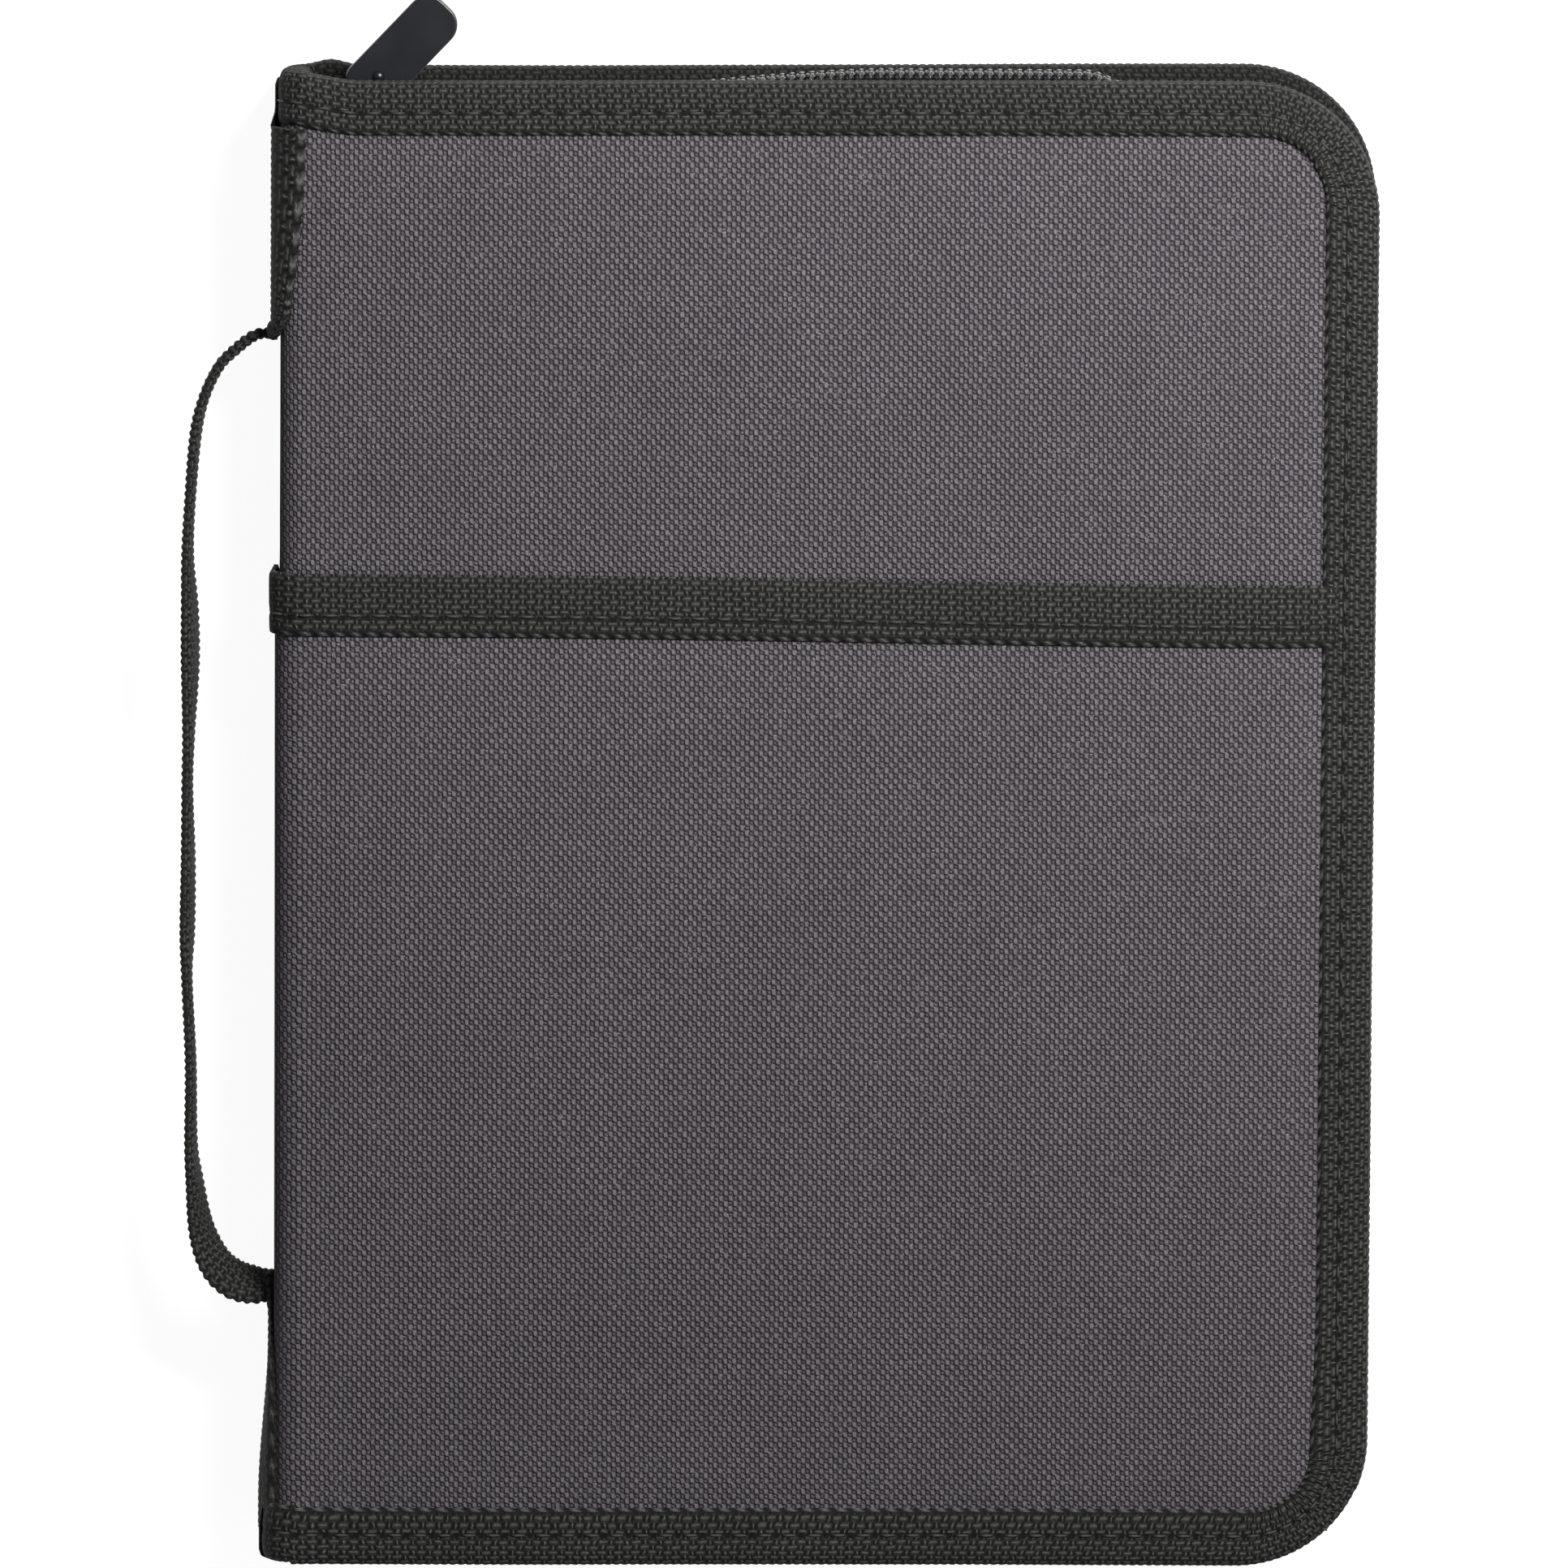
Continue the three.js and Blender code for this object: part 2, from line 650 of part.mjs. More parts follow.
// Finishes of the pieces
const finish = (color, roughness, metalness = 0) => new THREE.MeshStandardMaterial({ color, roughness, metalness });
const canvasGrey = finish(0x4b4a4e, 0.9);
const tapeBlack = finish(0x2b2d2b, 0.85);
const liningBlack = finish(0x1d1d1f, 0.8);
const boardGrey = finish(0x8a857c, 0.9);
const foamGrey = finish(0x55565a, 0.95);
const coilBlack = finish(0x17181a, 0.35);
const sliderBlack = finish(0x1b1c1f, 0.35, 0.8);
const tabBlack = finish(0x1a1d22, 0.3, 0.3);
const steel = finish(0x9a9da0, 0.3, 1);
const coverCloth = finish(0x26282c, 0.7);
const paper = finish(0xf1ecdf, 0.9);

const journal = new THREE.Group();

function add(name, shape, material, parent = journal) {
  const geometry = shape.isBufferGeometry ? shape : geometryOf(shape);
  const mesh = new THREE.Mesh(geometry, material);
  mesh.name = name;
  parent.add(mesh);
  return mesh;
}

// Case covers and spine
for (const side of ['back', 'spine', 'front']) {
  add(`${side}_outer_canvas`, canvasSheet(side), canvasGrey);
  add(`${side}_padding`, foamSheet(side), foamGrey);
  add(`${side}_board`, boardSheet(side), boardGrey);
  add(`${side}_lining`, liningSheet(side), liningBlack);
}
add('back_edge_binding', bindingTape('back'), tapeBlack);
add('front_edge_binding', bindingTape('front'), tapeBlack);
const spineBinding = bindingTape('spine');
add('spine_top_binding', spineBinding.intersect(block(-beyond, 0, -beyond, beyond, half, beyond)), tapeBlack);
add('spine_bottom_binding', spineBinding.intersect(block(-beyond, -half, -beyond, beyond, 0, beyond)), tapeBlack);

// Zip
const zipStopPlaces = { top: sliderX - sliderLength / 2 - gap - stopLength, bottom: coilEndX - gap - stopLength };
add('back_zip_tape', zipTape(), tapeBlack);
add('front_zip_tape', mirrored(zipTape()), tapeBlack);
add('back_zip_coil', coilRow(0, false), coilBlack);
add('front_zip_coil', coilRow(1, true), coilBlack);
for (const end of ['top', 'bottom']) {
  add(`back_zip_${end}_stop`, zipStop(zipStopPlaces[end], end === 'top', false), steel);
  add(`front_zip_${end}_stop`, zipStop(zipStopPlaces[end], end === 'top', true), steel);
}
add('zip_slider', sliderBody(), sliderBlack);
const pull = new THREE.Group();
pull.position.set(sliderX, bailY, middle);
pull.rotation.z = THREE.MathUtils.degToRad(tabAngle);
journal.add(pull);
add('pull_pin', pullPin(), steel, pull);
add('pull_tab', pullTab(), tabBlack, pull);

// Outer pocket
add('outer_pocket', pocketPanel(), canvasGrey);
add('pocket_mouth_binding', mouthBinding(), tapeBlack);

// Handle
add('upper_handle_anchor', handleAnchor(handleTop - webbingWidth / 3, anchorEnd), tapeBlack);
add('lower_handle_anchor', handleAnchor(-anchorEnd, handleBottom + webbingWidth / 3), tapeBlack);
add('handle_strap', handleStrap(), tapeBlack);

// Refill and what holds it
add('back_sleeve', sleeve(), liningBlack);
add('front_sleeve', mirrored(sleeve()), liningBlack);
add('refill_back_cover', refillBoard(), coverCloth);
add('refill_front_cover', mirrored(refillBoard()), coverCloth);
add('refill_spine', block(refillSpineX, -refillHeight / 2, refillTop, refillSpineX + refillSpineCloth,
  refillHeight / 2, caseThickness - refillTop), coverCloth);
add('resting_leaves', leafBlock(pageTop, middle - gap / 2), paper);
add('turning_leaves', leafBlock(middle + gap / 2, caseThickness - pageTop), paper);
add('pen_loop', penLoop(), tapeBlack);

export default journal;
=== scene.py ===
"""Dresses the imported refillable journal: a canvas zip case with a webbing handle, and its refill."""

import math

import bmesh
import bpy
from bpy.props import FloatProperty, FloatVectorProperty, PointerProperty
from mathutils import Matrix, Vector


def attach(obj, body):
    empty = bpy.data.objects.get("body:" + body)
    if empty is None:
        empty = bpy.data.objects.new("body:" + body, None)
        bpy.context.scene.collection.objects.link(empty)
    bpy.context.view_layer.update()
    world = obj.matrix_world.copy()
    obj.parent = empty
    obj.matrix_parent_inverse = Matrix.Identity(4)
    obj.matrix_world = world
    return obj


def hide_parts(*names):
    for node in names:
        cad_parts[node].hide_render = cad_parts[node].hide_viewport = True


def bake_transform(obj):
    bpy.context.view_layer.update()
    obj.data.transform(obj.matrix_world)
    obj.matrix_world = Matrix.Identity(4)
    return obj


bl_info = {
    "name": "Refillable journal",
    "version": (1, 0, 0),
    "blender": (4, 5, 0),
    "location": "3D View > Sidebar > Journal",
    "description": "Makes the cloth, tape, zip and paper of a refillable journal case",
    "category": "Object",
}

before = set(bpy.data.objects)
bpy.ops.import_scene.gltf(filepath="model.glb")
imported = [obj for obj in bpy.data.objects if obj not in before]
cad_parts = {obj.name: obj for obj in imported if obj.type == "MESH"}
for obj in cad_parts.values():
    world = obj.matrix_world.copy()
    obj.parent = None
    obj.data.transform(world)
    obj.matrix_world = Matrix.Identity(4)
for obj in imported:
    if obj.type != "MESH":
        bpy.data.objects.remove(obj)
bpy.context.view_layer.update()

# Lengths are in millimetres until a mesh is finished
MM = 0.001
# Points closer than this are joined
JOIN = 1e-4
CLOTH_MAP = "cloth"

# The case's plan and section
LEFT, RIGHT, HALF = -82.5, 82.5, 112.8
THICK = 26.0
MID = THICK / 2
CORNER = 20.0
TAPE_WIDTH = 8.0
TAPE_CORNER = 10.0
FOLD = 4.0
FOLD_ARC = FOLD * math.pi / 2
FOLD_END = LEFT + FOLD
SPINE_FLAT = MID - FOLD
SIDES = ((True, "front"), (False, "back"))
ENDS = ((True, "top"), (False, "bottom"))

# Pocket and mouth tape
POCKET_MOUTH = 28.6
MOUTH_TOP = 38.1

# Zip
SLIDER_X = -68.0
PULL_Y = HALF - 0.2
TOOTH_PITCH = 1.49


def tint(name, description, default):
    return FloatVectorProperty(name=name, description=description, subtype="COLOR", default=default)


def millimetres(name, description, default, low, high):
    description += ", in millimetres"
    return FloatProperty(name=name, description=description, default=default, min=low, max=high)


class JournalLook(bpy.types.PropertyGroup):
    """Sizes and colours of the cloth and its trim."""

    canvas_light: tint("Canvas, raised yarn", "Colour of yarn that lies on top", (0.138, 0.126, 0.137))
    canvas_dark: tint("Canvas, sunk yarn", "Colour of yarn that passes under", (0.029, 0.026, 0.030))
    tape_light: tint("Tape, raised yarn", "Colour of the tape's floats", (0.122, 0.119, 0.112))
    tape_dark: tint("Tape, ground", "Colour of the tape's ground", (0.0035, 0.0035, 0.0035))
    yarn_pitch: millimetres("Canvas yarn pitch", "Distance between two yarns", 0.70, 0.3, 2.0)
    tape_pitch: millimetres("Tape weave pitch", "Length of one weave repeat", 1.24, 0.5, 3.0)
    stitch_pitch: millimetres("Stitch length", "Distance between needle holes", 3.7, 2.0, 6.0)
    panel_crown: millimetres("Panel crown", "How far the upper panel stands up", 0.9, 0.0, 3.0)
    pocket_crown: millimetres("Pocket crown", "How far the pocket stands up", 1.7, 0.0, 3.0)


# Shader maths

class Value:
    """A number inside a material, so that shader maths reads as an expression."""

    def __init__(self, graph, socket):
        self.graph = graph
        self.socket = socket

    def maths(self, operation, *others):
        return self.graph.node("ShaderNodeMath", {"operation": operation}, [self, *others])

    def __rsub__(self, other):
        return self.graph.node("ShaderNodeMath", {"operation": "SUBTRACT"}, [other, self])

    def clamped(self):
        return self.at_least(0.0).at_most(1.0)

    def away(self, place, reach):
        """Distance from a place as a share of reach, up to 1."""
        return (abs(self - place) / reach).at_most(1.0)

    def wave(self):
        """A bump from 0 to 1 and back over each whole step."""
        return abs((self * math.pi).sine())


def maths_method(operation):
    """A method of Value that adds one maths node."""
    return lambda value, *others: value.maths(operation, *others)


for method, operation in {
    "__add__": "ADD", "__radd__": "ADD", "__sub__": "SUBTRACT", "__mul__": "MULTIPLY", "__rmul__": "MULTIPLY",
    "__truediv__": "DIVIDE", "__lt__": "LESS_THAN", "__gt__": "GREATER_THAN", "__pow__": "POWER",
    "__mod__": "FLOORED_MODULO", "__abs__": "ABSOLUTE", "floor": "FLOOR", "fraction": "FRACT",
    "at_least": "MAXIMUM", "at_most": "MINIMUM", "sine": "SINE", "cosine": "COSINE",
}.items():
    setattr(Value, method, maths_method(operation))


class Graph:
    def __init__(self, name):
        self.material = bpy.data.materials.new(name)
        self.material.use_nodes = True
        self.tree = self.material.node_tree
        self.shader = self.tree.nodes["Principled BSDF"]

    def node(self, kind, settings=None, inputs=(), output=0):
        made = self.tree.nodes.new(kind)
        for key, value in (settings or {}).items():
            setattr(made, key, value)
        pairs = inputs.items() if isinstance(inputs, dict) else enumerate(inputs)
        for key, value in pairs:
            self.plug(made.inputs[key], value)
        return Value(self, made.outputs[output])

    def plug(self, socket, value):
        if isinstance(value, Value):
            self.tree.links.new(value.socket, socket)
            return
        if hasattr(value, "__len__") and len(socket.default_value) == 4:
            value = (*value[:3], 1)
        socket.default_value = value

    def split(self, vector):
        """The three parts of a vector."""
        return [self.node("ShaderNodeSeparateXYZ", None, [vector], part) for part in range(3)]

    def scaled(self, vector, factor):
        return self.node("ShaderNodeVectorMath", {"operation": "SCALE"}, {0: vector, "Scale": factor})

    def stretched(self, vector, factors):
        return self.node("ShaderNodeVectorMath", {"operation": "MULTIPLY"}, [vector, factors])

    def cloth(self):
        """Place on the flat cloth, in millimetres."""
        return self.split(self.node("ShaderNodeUVMap", {"uv_map": CLOTH_MAP}))[:2]

    def place(self):
        """Place on the object, in millimetres."""
        return self.scaled(self.node("ShaderNodeTexCoord", None, (), "Object"), 1 / MM)

    def noise(self, vector, scale, detail=2.0, roughness=0.5):
        inputs = {"Vector": vector, "Scale": scale, "Detail": detail, "Roughness": roughness}
        return self.node("ShaderNodeTexNoise", None, inputs, "Fac")

    def cells(self, vector, scale):
        return self.node("ShaderNodeTexVoronoi", None, {"Vector": vector, "Scale": scale}, "Distance")

    def mix(self, factor, first, second):
        """A colour between two colours."""
        settings = {"data_type": "RGBA", "clamp_factor": True}
        return self.node("ShaderNodeMix", settings, {0: factor, 6: first, 7: second}, 2)

    def blend(self, factor, first, second):
        """A number between two numbers."""
        return self.node("ShaderNodeMix", {"data_type": "FLOAT"}, {0: factor, 2: first, 3: second}, 0)

    def shade(self, factor, colour, low, high):
        """A colour multiplied by a number between low and high."""
        return self.scaled(colour, self.blend(factor, low, high))

    def finish(self, colour, rough, relief=None, **sockets):
        """Sets the shader. relief holds a height, its depth in millimetres and its strength."""
        sockets.update(Base_Color=colour, Roughness=rough)
        if relief:
            height, depth, strength = relief
            inputs = {"Height": height, "Distance": depth * MM, "Strength": strength}
            sockets["Normal"] = self.node("ShaderNodeBump", None, inputs)
        for key, value in sockets.items():
            self.plug(self.shader.inputs[key.replace("_", " ")], value)
        return self.material


# Materials

def canvas_material(look):
    """Plain weave of stout yarn with painted glints as pale flecks, lighter where a yarn lies on top."""
    g = Graph("canvas_cloth")
    across, along = g.cloth()
    spot = g.place()
    wander = (g.noise(spot, 0.22, 2.0) - 0.5) * 0.5 + (g.noise(spot, 0.9, 1.0) - 0.5) * 0.22
    u = across / look.yarn_pitch + wander
    v = along / (look.yarn_pitch * 1.15) + wander
    over = (u * math.pi).sine()
    chequer = over * (v * math.pi).sine() - ((u + v) * math.pi).cosine() * 0.13
    gap = 1 - abs(over)
    warp = ((chequer + 0.50 - gap * 0.50) * 1.10).clamped() ** 0.7
    weft = ((0.0 - chequer - 0.55) * 2.2).clamped()
    height = warp.at_least(weft * 0.55)
    fibre = g.noise(spot, 3.2, 3.0, 0.65)
    blotch = g.noise(spot, 0.045, 3.0, 0.55)
    # The pale flecks are painted glints, mixed into the weave's colour
    fleck = (fibre > 0.62) * (chequer < 0.35)
    ground = g.mix(height ** 1.2, look.canvas_dark, look.canvas_light)
    painted_highlight = g.mix(fleck * 0.5, ground, (0.36, 0.34, 0.34))
    lit = g.shade(blotch, painted_highlight, 0.88, 1.12)
    lit = g.shade(g.noise(spot, 1.5, 1.0), lit, 0.62, 1.38)
    return g.finish(lit, 0.80 + fibre * 0.12, (height + fibre * 0.22, 0.26, 1.0),
                    Specular_IOR_Level=0.2, Sheen_Weight=0.05, Sheen_Roughness=0.5)


def tape_material(look, name, selvedge=1.3, rim=None, seam=None, shade=1.0):
    """Narrow woven tape: upright dashes and level floats set like bricks, and a chevron selvedge.

    rim is the place of the row of loops on its rolled edge, whose colour is lightened as a painted highlight,
    seam gives the place of the needle holes across the tape and of one of them along it, and shade scales the
    tape's colour: the back cover's tape and the spine's end tapes are darker copies, painted shade."""
    g = Graph(name)
    along, across = g.cloth()
    spot = g.place()
    repeat = look.tape_pitch * 2
    wander = (g.noise(spot, 0.35, 2.0) - 0.5) * 0.6 + (g.noise(spot, 1.1, 1.0) - 0.5) * 0.35
    row = across / (look.tape_pitch * 0.64) + wander
    part = (along / repeat + (row.floor() % 2.0) * 0.5 + wander * 0.5).fraction()
    level = row.fraction()
    from_dash = 0.5 - abs(part - 0.5)
    dash = (1 - (from_dash / 0.11).at_most(1.0)) * (1 - abs(level - 0.5) * 1.3)
    float_span = 1 - part.away(0.52, 0.30) ** 4.0
    float_line = 1 - level.away(0.45, 0.34)
    body = (dash * 1.1).at_least(float_span * (0.26 + 0.44 * float_line))
    fibre = g.noise(spot, 4.5, 3.0, 0.7)
    slant = (along / repeat + abs(across - selvedge * 0.5) * 0.5).fraction()
    braid = (1 - (abs(slant - 0.5) * 2.6).at_most(1.0)) ** 0.8
    groove = (abs(across - selvedge) < 0.16) * 0.7
    body = g.blend(across < selvedge, body, braid * 0.8) * (1 - groove)
    # The rolled edge's loops are raised and painted lighter: real loops with a painted highlight
    if rim:
        loop = 1 - abs((along / look.tape_pitch + 0.5).fraction() - 0.5) * 1.5
        on_rim = 1 - across.away(rim, 0.40) ** 2.0
        body = body.at_least(loop * on_rim * 0.75)
    if seam:
        from_seam = abs(across - seam[0])
        hole = abs(((along - seam[1]) / look.stitch_pitch + 0.5).fraction() - 0.5) < 0.10
        hole = hole * (from_seam < 0.42)
        body = body * (1 - (from_seam < 0.30) * 0.5) * (1 - hole)
    glint = (fibre > 0.56) * body
    colour = g.mix(body ** 1.7, look.tape_dark, look.tape_light)
    colour = g.mix(glint * 0.35, colour, (0.24, 0.24, 0.22))
    colour = g.shade(g.noise(spot, 0.06, 2.0), colour, 0.82 * shade, 1.18 * shade)
    if seam:
        colour = g.mix(hole * 0.9, colour, (0.001, 0.001, 0.001))
    return g.finish(colour, 0.66 + fibre * 0.2, (body + fibre * 0.2, 0.26, 1.0),
                    Specular_IOR_Level=0.2, Sheen_Weight=0.03)


def thread_material(name, light):
    """Twisted sewing thread."""
    g = Graph(name)
    along, across = g.cloth()
    twist = ((along + across * 0.8) * 3.4).fraction().wave()
    return g.finish(g.mix(twist, (0.006, 0.006, 0.006), light), 0.5 + twist * 0.1, (twist, 0.05, 0.7))


def coil_material():
    """Drawn nylon of the zip's coils."""
    g = Graph("coil_nylon")
    haze = g.noise(g.place(), 1.1, 3.0)
    colour = g.mix(haze, (0.010, 0.010, 0.011), (0.028, 0.028, 0.030))
    return g.finish(colour, 0.24 + haze * 0.16, (haze, 0.02, 0.5), Specular_IOR_Level=0.6)


def metal_material(name, dark, light, rough, metallic):
    """Cast or drawn metal with fine brushing and rubbed spots."""
    g = Graph(name)
    spot = g.place()
    brush = g.noise(g.stretched(spot, (1.0, 6.0, 6.0)), 1.2, 4.0, 0.6)
    wear = g.noise(spot, 0.5, 4.0, 0.6)
    colour = g.mix(wear * brush * 1.6, dark, light)
    return g.finish(colour, rough + brush * 0.12, (brush, 0.01, 0.5), Metallic=metallic)


def tab_material():
    """Satin enamel with a faint orange-peel surface, with a painted highlight along the rim."""
    g = Graph("tab_enamel")
    spot = g.place()
    peel = g.noise(spot, 2.4, 2.0)
    haze = g.noise(spot, 0.16, 3.0)
    rim = g.node("ShaderNodeAttribute", {"attribute_name": "rim"}, (), "Fac")
    colour = g.mix(haze, (0.0075, 0.0080, 0.0105), (0.0120, 0.0125, 0.0155))
    # Painted highlight: the rim layer lightens the enamel along the tab's edges
    colour = g.mix(rim * (0.35 + 0.4 * peel), colour, (0.16, 0.16, 0.15))
    return g.finish(colour, 0.27 + haze * 0.10, (peel, 0.012, 0.6),
                    Metallic=0.1, Coat_Weight=0.1, Coat_Roughness=0.25)


def lining_material(name, pitch, dark, light):
    """Fine nylon twill with slanting ribs."""
    g = Graph(name)
    across, along = g.cloth()
    rib = ((across + along) / pitch).fraction().wave()
    step = ((across - along) / (pitch * 0.5)).fraction().wave()
    weave = rib * (0.6 + 0.4 * step)
    crease = g.noise(g.place(), 0.05, 4.0, 0.6)
    colour = g.shade(crease, g.mix(weave, dark, light), 0.8, 1.2)
    return g.finish(colour, 0.62 + weave * 0.15, (weave + crease * 2.0, 0.06, 0.8), Sheen_Weight=0.1)


def cover_material():
    """Grained book cloth of the refill's hard covers."""
    g = Graph("cover_grain")
    spot = g.place()
    grain = g.cells(spot, 1.1)
    pores = g.noise(spot, 2.6, 3.0)
    colour = g.mix(grain, (0.020, 0.022, 0.026), (0.044, 0.046, 0.052))
    return g.finish(colour, 0.52 + pores * 0.18, (grain + pores * 0.3, 0.09, 0.7))


def board_material():
    """Pressed grey board with flecks."""
    g = Graph("grey_board")
    flecks = g.noise(g.place(), 1.6, 5.0, 0.75)
    colour = g.mix(flecks, (0.20, 0.185, 0.165), (0.34, 0.32, 0.29))
    return g.finish(colour, 0.88 + flecks * 0.08, (flecks, 0.06, 0.6))


def foam_material():
    """Open-celled foam sheet."""
    g = Graph("foam_sheet")
    cells = g.cells(g.place(), 1.5)
    return g.finish(g.mix(cells, (0.055, 0.056, 0.060), (0.13, 0.132, 0.138)), 0.93, (cells, 0.15, 0.8))


def paper_material():
    """Cream leaves: ruled on their faces, and layered in fine lines at their edges."""
    g = Graph("ruled_paper")
    spot = g.place()
    x, y, _ = g.split(spot)
    layers = g.noise(g.stretched(spot, (0.05, 0.05, 9.0)), 1.0, 3.0, 0.7)
    fibre = g.noise(spot, 1.5, 4.0, 0.6)
    tooth = g.mix(fibre, (0.68, 0.645, 0.56), (0.76, 0.725, 0.645))
    normal = g.node("ShaderNodeNewGeometry", None, (), "Normal")
    face = abs(g.split(normal)[2]) > 0.7
    line = abs((y / RULE_PITCH + 0.5).fraction() - 0.5) < 0.020
    body = (abs(y) < RULED_HALF) * (x > RULED_LEFT) * (x < RULED_RIGHT)
    ruled = g.mix(line * body * face, tooth, (0.42, 0.47, 0.53))
    colour = g.mix(face, g.shade(layers, tooth, 0.62, 1.05), ruled)
    return g.finish(colour, 0.86 + fibre * 0.08, (layers * (1 - face) + fibre * 0.1, 0.12, 0.7))


# Mesh helpers

def finish_mesh(bm, name, material, recalc=True):
    """Turns a bmesh drawn in millimetres into a finished piece."""
    if recalc:
        bmesh.ops.recalc_face_normals(bm, faces=bm.faces)
    for face in bm.faces:
        face.smooth = True
    bmesh.ops.scale(bm, vec=(MM, MM, MM), verts=bm.verts)
    mesh = bpy.data.meshes.new(name)
    bm.to_mesh(mesh)
    bm.free()
    mesh.materials.append(material)
    piece = bpy.data.objects.new(name, mesh)
    bpy.context.scene.collection.objects.link(piece)
    return piece


def stand_for(nodes):
    if nodes:
        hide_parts(*nodes)


def ride(piece, body, slot, *nodes):
    """Puts a piece on its body, with the nodes that it stands for. slot, its finish, is not used."""
    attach(piece, body)
    stand_for(nodes)


def bend(piece, front, slot, *nodes):
    """Bakes a piece's place into its mesh, with the nodes that it stands for. front, its fold, and slot, its
    finish, are not used.
    """
    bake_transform(piece)
    stand_for(nodes)


def cloth(piece, width, length, *lies_on):
    """Hands the piece back as it is. width and length, its size in millimetres, and lies_on, what it is sewn
    down on, are not used.
    """
    width * MM
    return piece


def shaped_grid(name, steps_u, steps_v, place, flat, material, thickness=0.0):
    """A grid whose points are moved to place(u, v).

    flat gives the flat cloth's own map: a function of u and v, or its size. thickness gives a sheet its wall.
    Without it the grid is a tube, which joins its v ends and closes both its mouths."""
    bm = bmesh.new()
    bmesh.ops.create_grid(bm, x_segments=steps_u, y_segments=steps_v, size=0.5)
    layer = bm.loops.layers.uv.new(CLOTH_MAP)
    parts = {vert: (vert.co.x + 0.5, vert.co.y + 0.5) for vert in bm.verts}
    for face in bm.faces:
        for loop in face.loops:
            u, v = parts[loop.vert]
            loop[layer].uv = flat(u, v) if callable(flat) else (u * flat[0], v * flat[1])
    for vert, (u, v) in parts.items():
        vert.co = place(u, v)
    if thickness:
        bmesh.ops.recalc_face_normals(bm, faces=bm.faces)
        bmesh.ops.solidify(bm, geom=bm.faces[:], thickness=thickness)
    else:
        bmesh.ops.remove_doubles(bm, verts=bm.verts, dist=JOIN)
        bmesh.ops.holes_fill(bm, edges=[edge for edge in bm.edges if edge.is_boundary], sides=0)
    return finish_mesh(bm, name, material, recalc=not thickness)


def soften(bm, width, segments, edges=None):
    """Rounds the given edges of a shape, or all of them."""
    bmesh.ops.bevel(bm, geom=edges or bm.edges[:], offset=width, affect="EDGES", segments=segments,
                    profile=0.5, material=-1)


def block(bm, low, high):
    """A box between two corners."""
    made = bmesh.ops.create_cube(bm, size=1.0)["verts"]
    low, high = Vector(low), Vector(high)
    bmesh.ops.scale(bm, vec=high - low, verts=made)
    bmesh.ops.translate(bm, vec=(low + high) / 2, verts=made)


def pushed(bm, made, shift):
    """Moves the points that an extrusion made."""
    verts = [item for item in made["geom"] if isinstance(item, bmesh.types.BMVert)]
    bmesh.ops.translate(bm, vec=shift, verts=verts)


def turned(bm, verts, matrix, shift):
    """Turns some points about the origin, and moves them."""
    bmesh.ops.rotate(bm, cent=(0, 0, 0), matrix=matrix, verts=verts)
    bmesh.ops.translate(bm, vec=shift, verts=verts)


def smooth_step(low, high, value):
    t = min(max((value - low) / (high - low), 0.0), 1.0)
    return t * t * (3 - 2 * t)


def hump(distance, reach):
    """A smooth rise to 1 and back, centred on no distance."""
    return math.exp(-(distance / reach) ** 2)


def ribs(run, pitch):
    """Rows of round ribs from 0 to 1."""
    return abs(math.sin(math.pi * run / pitch))


def two_pace(u, share, low, middle, high):
    """A place from low to high that has reached the middle at the given share of u."""
    if u < share:
        return low + (u / share) * (middle - low)
    return middle + (u - share) / (1 - share) * (high - middle)


def ripple(x, y, seed):
    """Slow unevenness from -1 to 1."""
    return (math.sin(x * 0.071 + seed) * math.sin(y * 0.053 + 1.7 * seed + 1.0)
            + 0.6 * math.sin(x * 0.023 - y * 0.041 + 2.1 * seed)
            + 0.4 * math.sin(x * 0.13 + y * 0.11 + 3.3 * seed)) / 2.0


def run_lengths(points):
    """Length along a row of points, up to each of them."""
    lengths = [0.0]
    for first, second in zip(points, points[1:]):
        lengths.append(lengths[-1] + (second - first).length)
    return lengths


def span_at(lengths, share):
    """The number of the span that holds a share of a row's whole length, and how much of it is passed."""
    goal = share * lengths[-1]
    i = next((k for k in range(1, len(lengths)) if goal <= lengths[k]), len(lengths) - 1)
    return i, (goal - lengths[i - 1]) / (lengths[i] - lengths[i - 1] or 1.0)


def polyline(pairs, closed=True):
    """Total length of a row of points, and a function that gives the point at a share of it."""
    points = [Vector((*pair, 0)) for pair in pairs]
    if closed:
        points.append(points[0])
    lengths = run_lengths(points)

    def at(share):
        i, passed = span_at(lengths, share)
        return points[i - 1].lerp(points[i], passed)[:2]

    return lengths[-1], at


def smooth_route(points, steps):
    """Points of a smooth curve through the given ones."""
    spots = [Vector(p) for p in points]
    spots = [spots[0] * 2 - spots[1]] + spots + [spots[-1] * 2 - spots[-2]]
    made = []
    for i in range(1, len(spots) - 2):
        a, b, c, d = spots[i - 1:i + 3]
        for k in range(steps):
            t = k / steps
            made.append(0.5 * (2 * b + (c - a) * t + (2 * a - 5 * b + 4 * c - d) * t * t
                               + (3 * b - a - 3 * c + d) * t ** 3))
    made.append(spots[-2])
    return made


# Places on the case

def skin(w, out=0.0, front=True):
    """Point (x, z) on the cloth's outer skin, w millimetres right of the fold's end, and out off the skin."""
    if w >= 0:
        x, z = FOLD_END + w, THICK + out
    elif w > -FOLD_ARC:
        turn = -w / FOLD
        x = FOLD_END - (FOLD + out) * math.sin(turn)
        z = THICK - FOLD + (FOLD + out) * math.cos(turn)
    else:
        x, z = LEFT - out, THICK - FOLD + FOLD_ARC + w
    return (x, z) if front else (x, THICK - z)


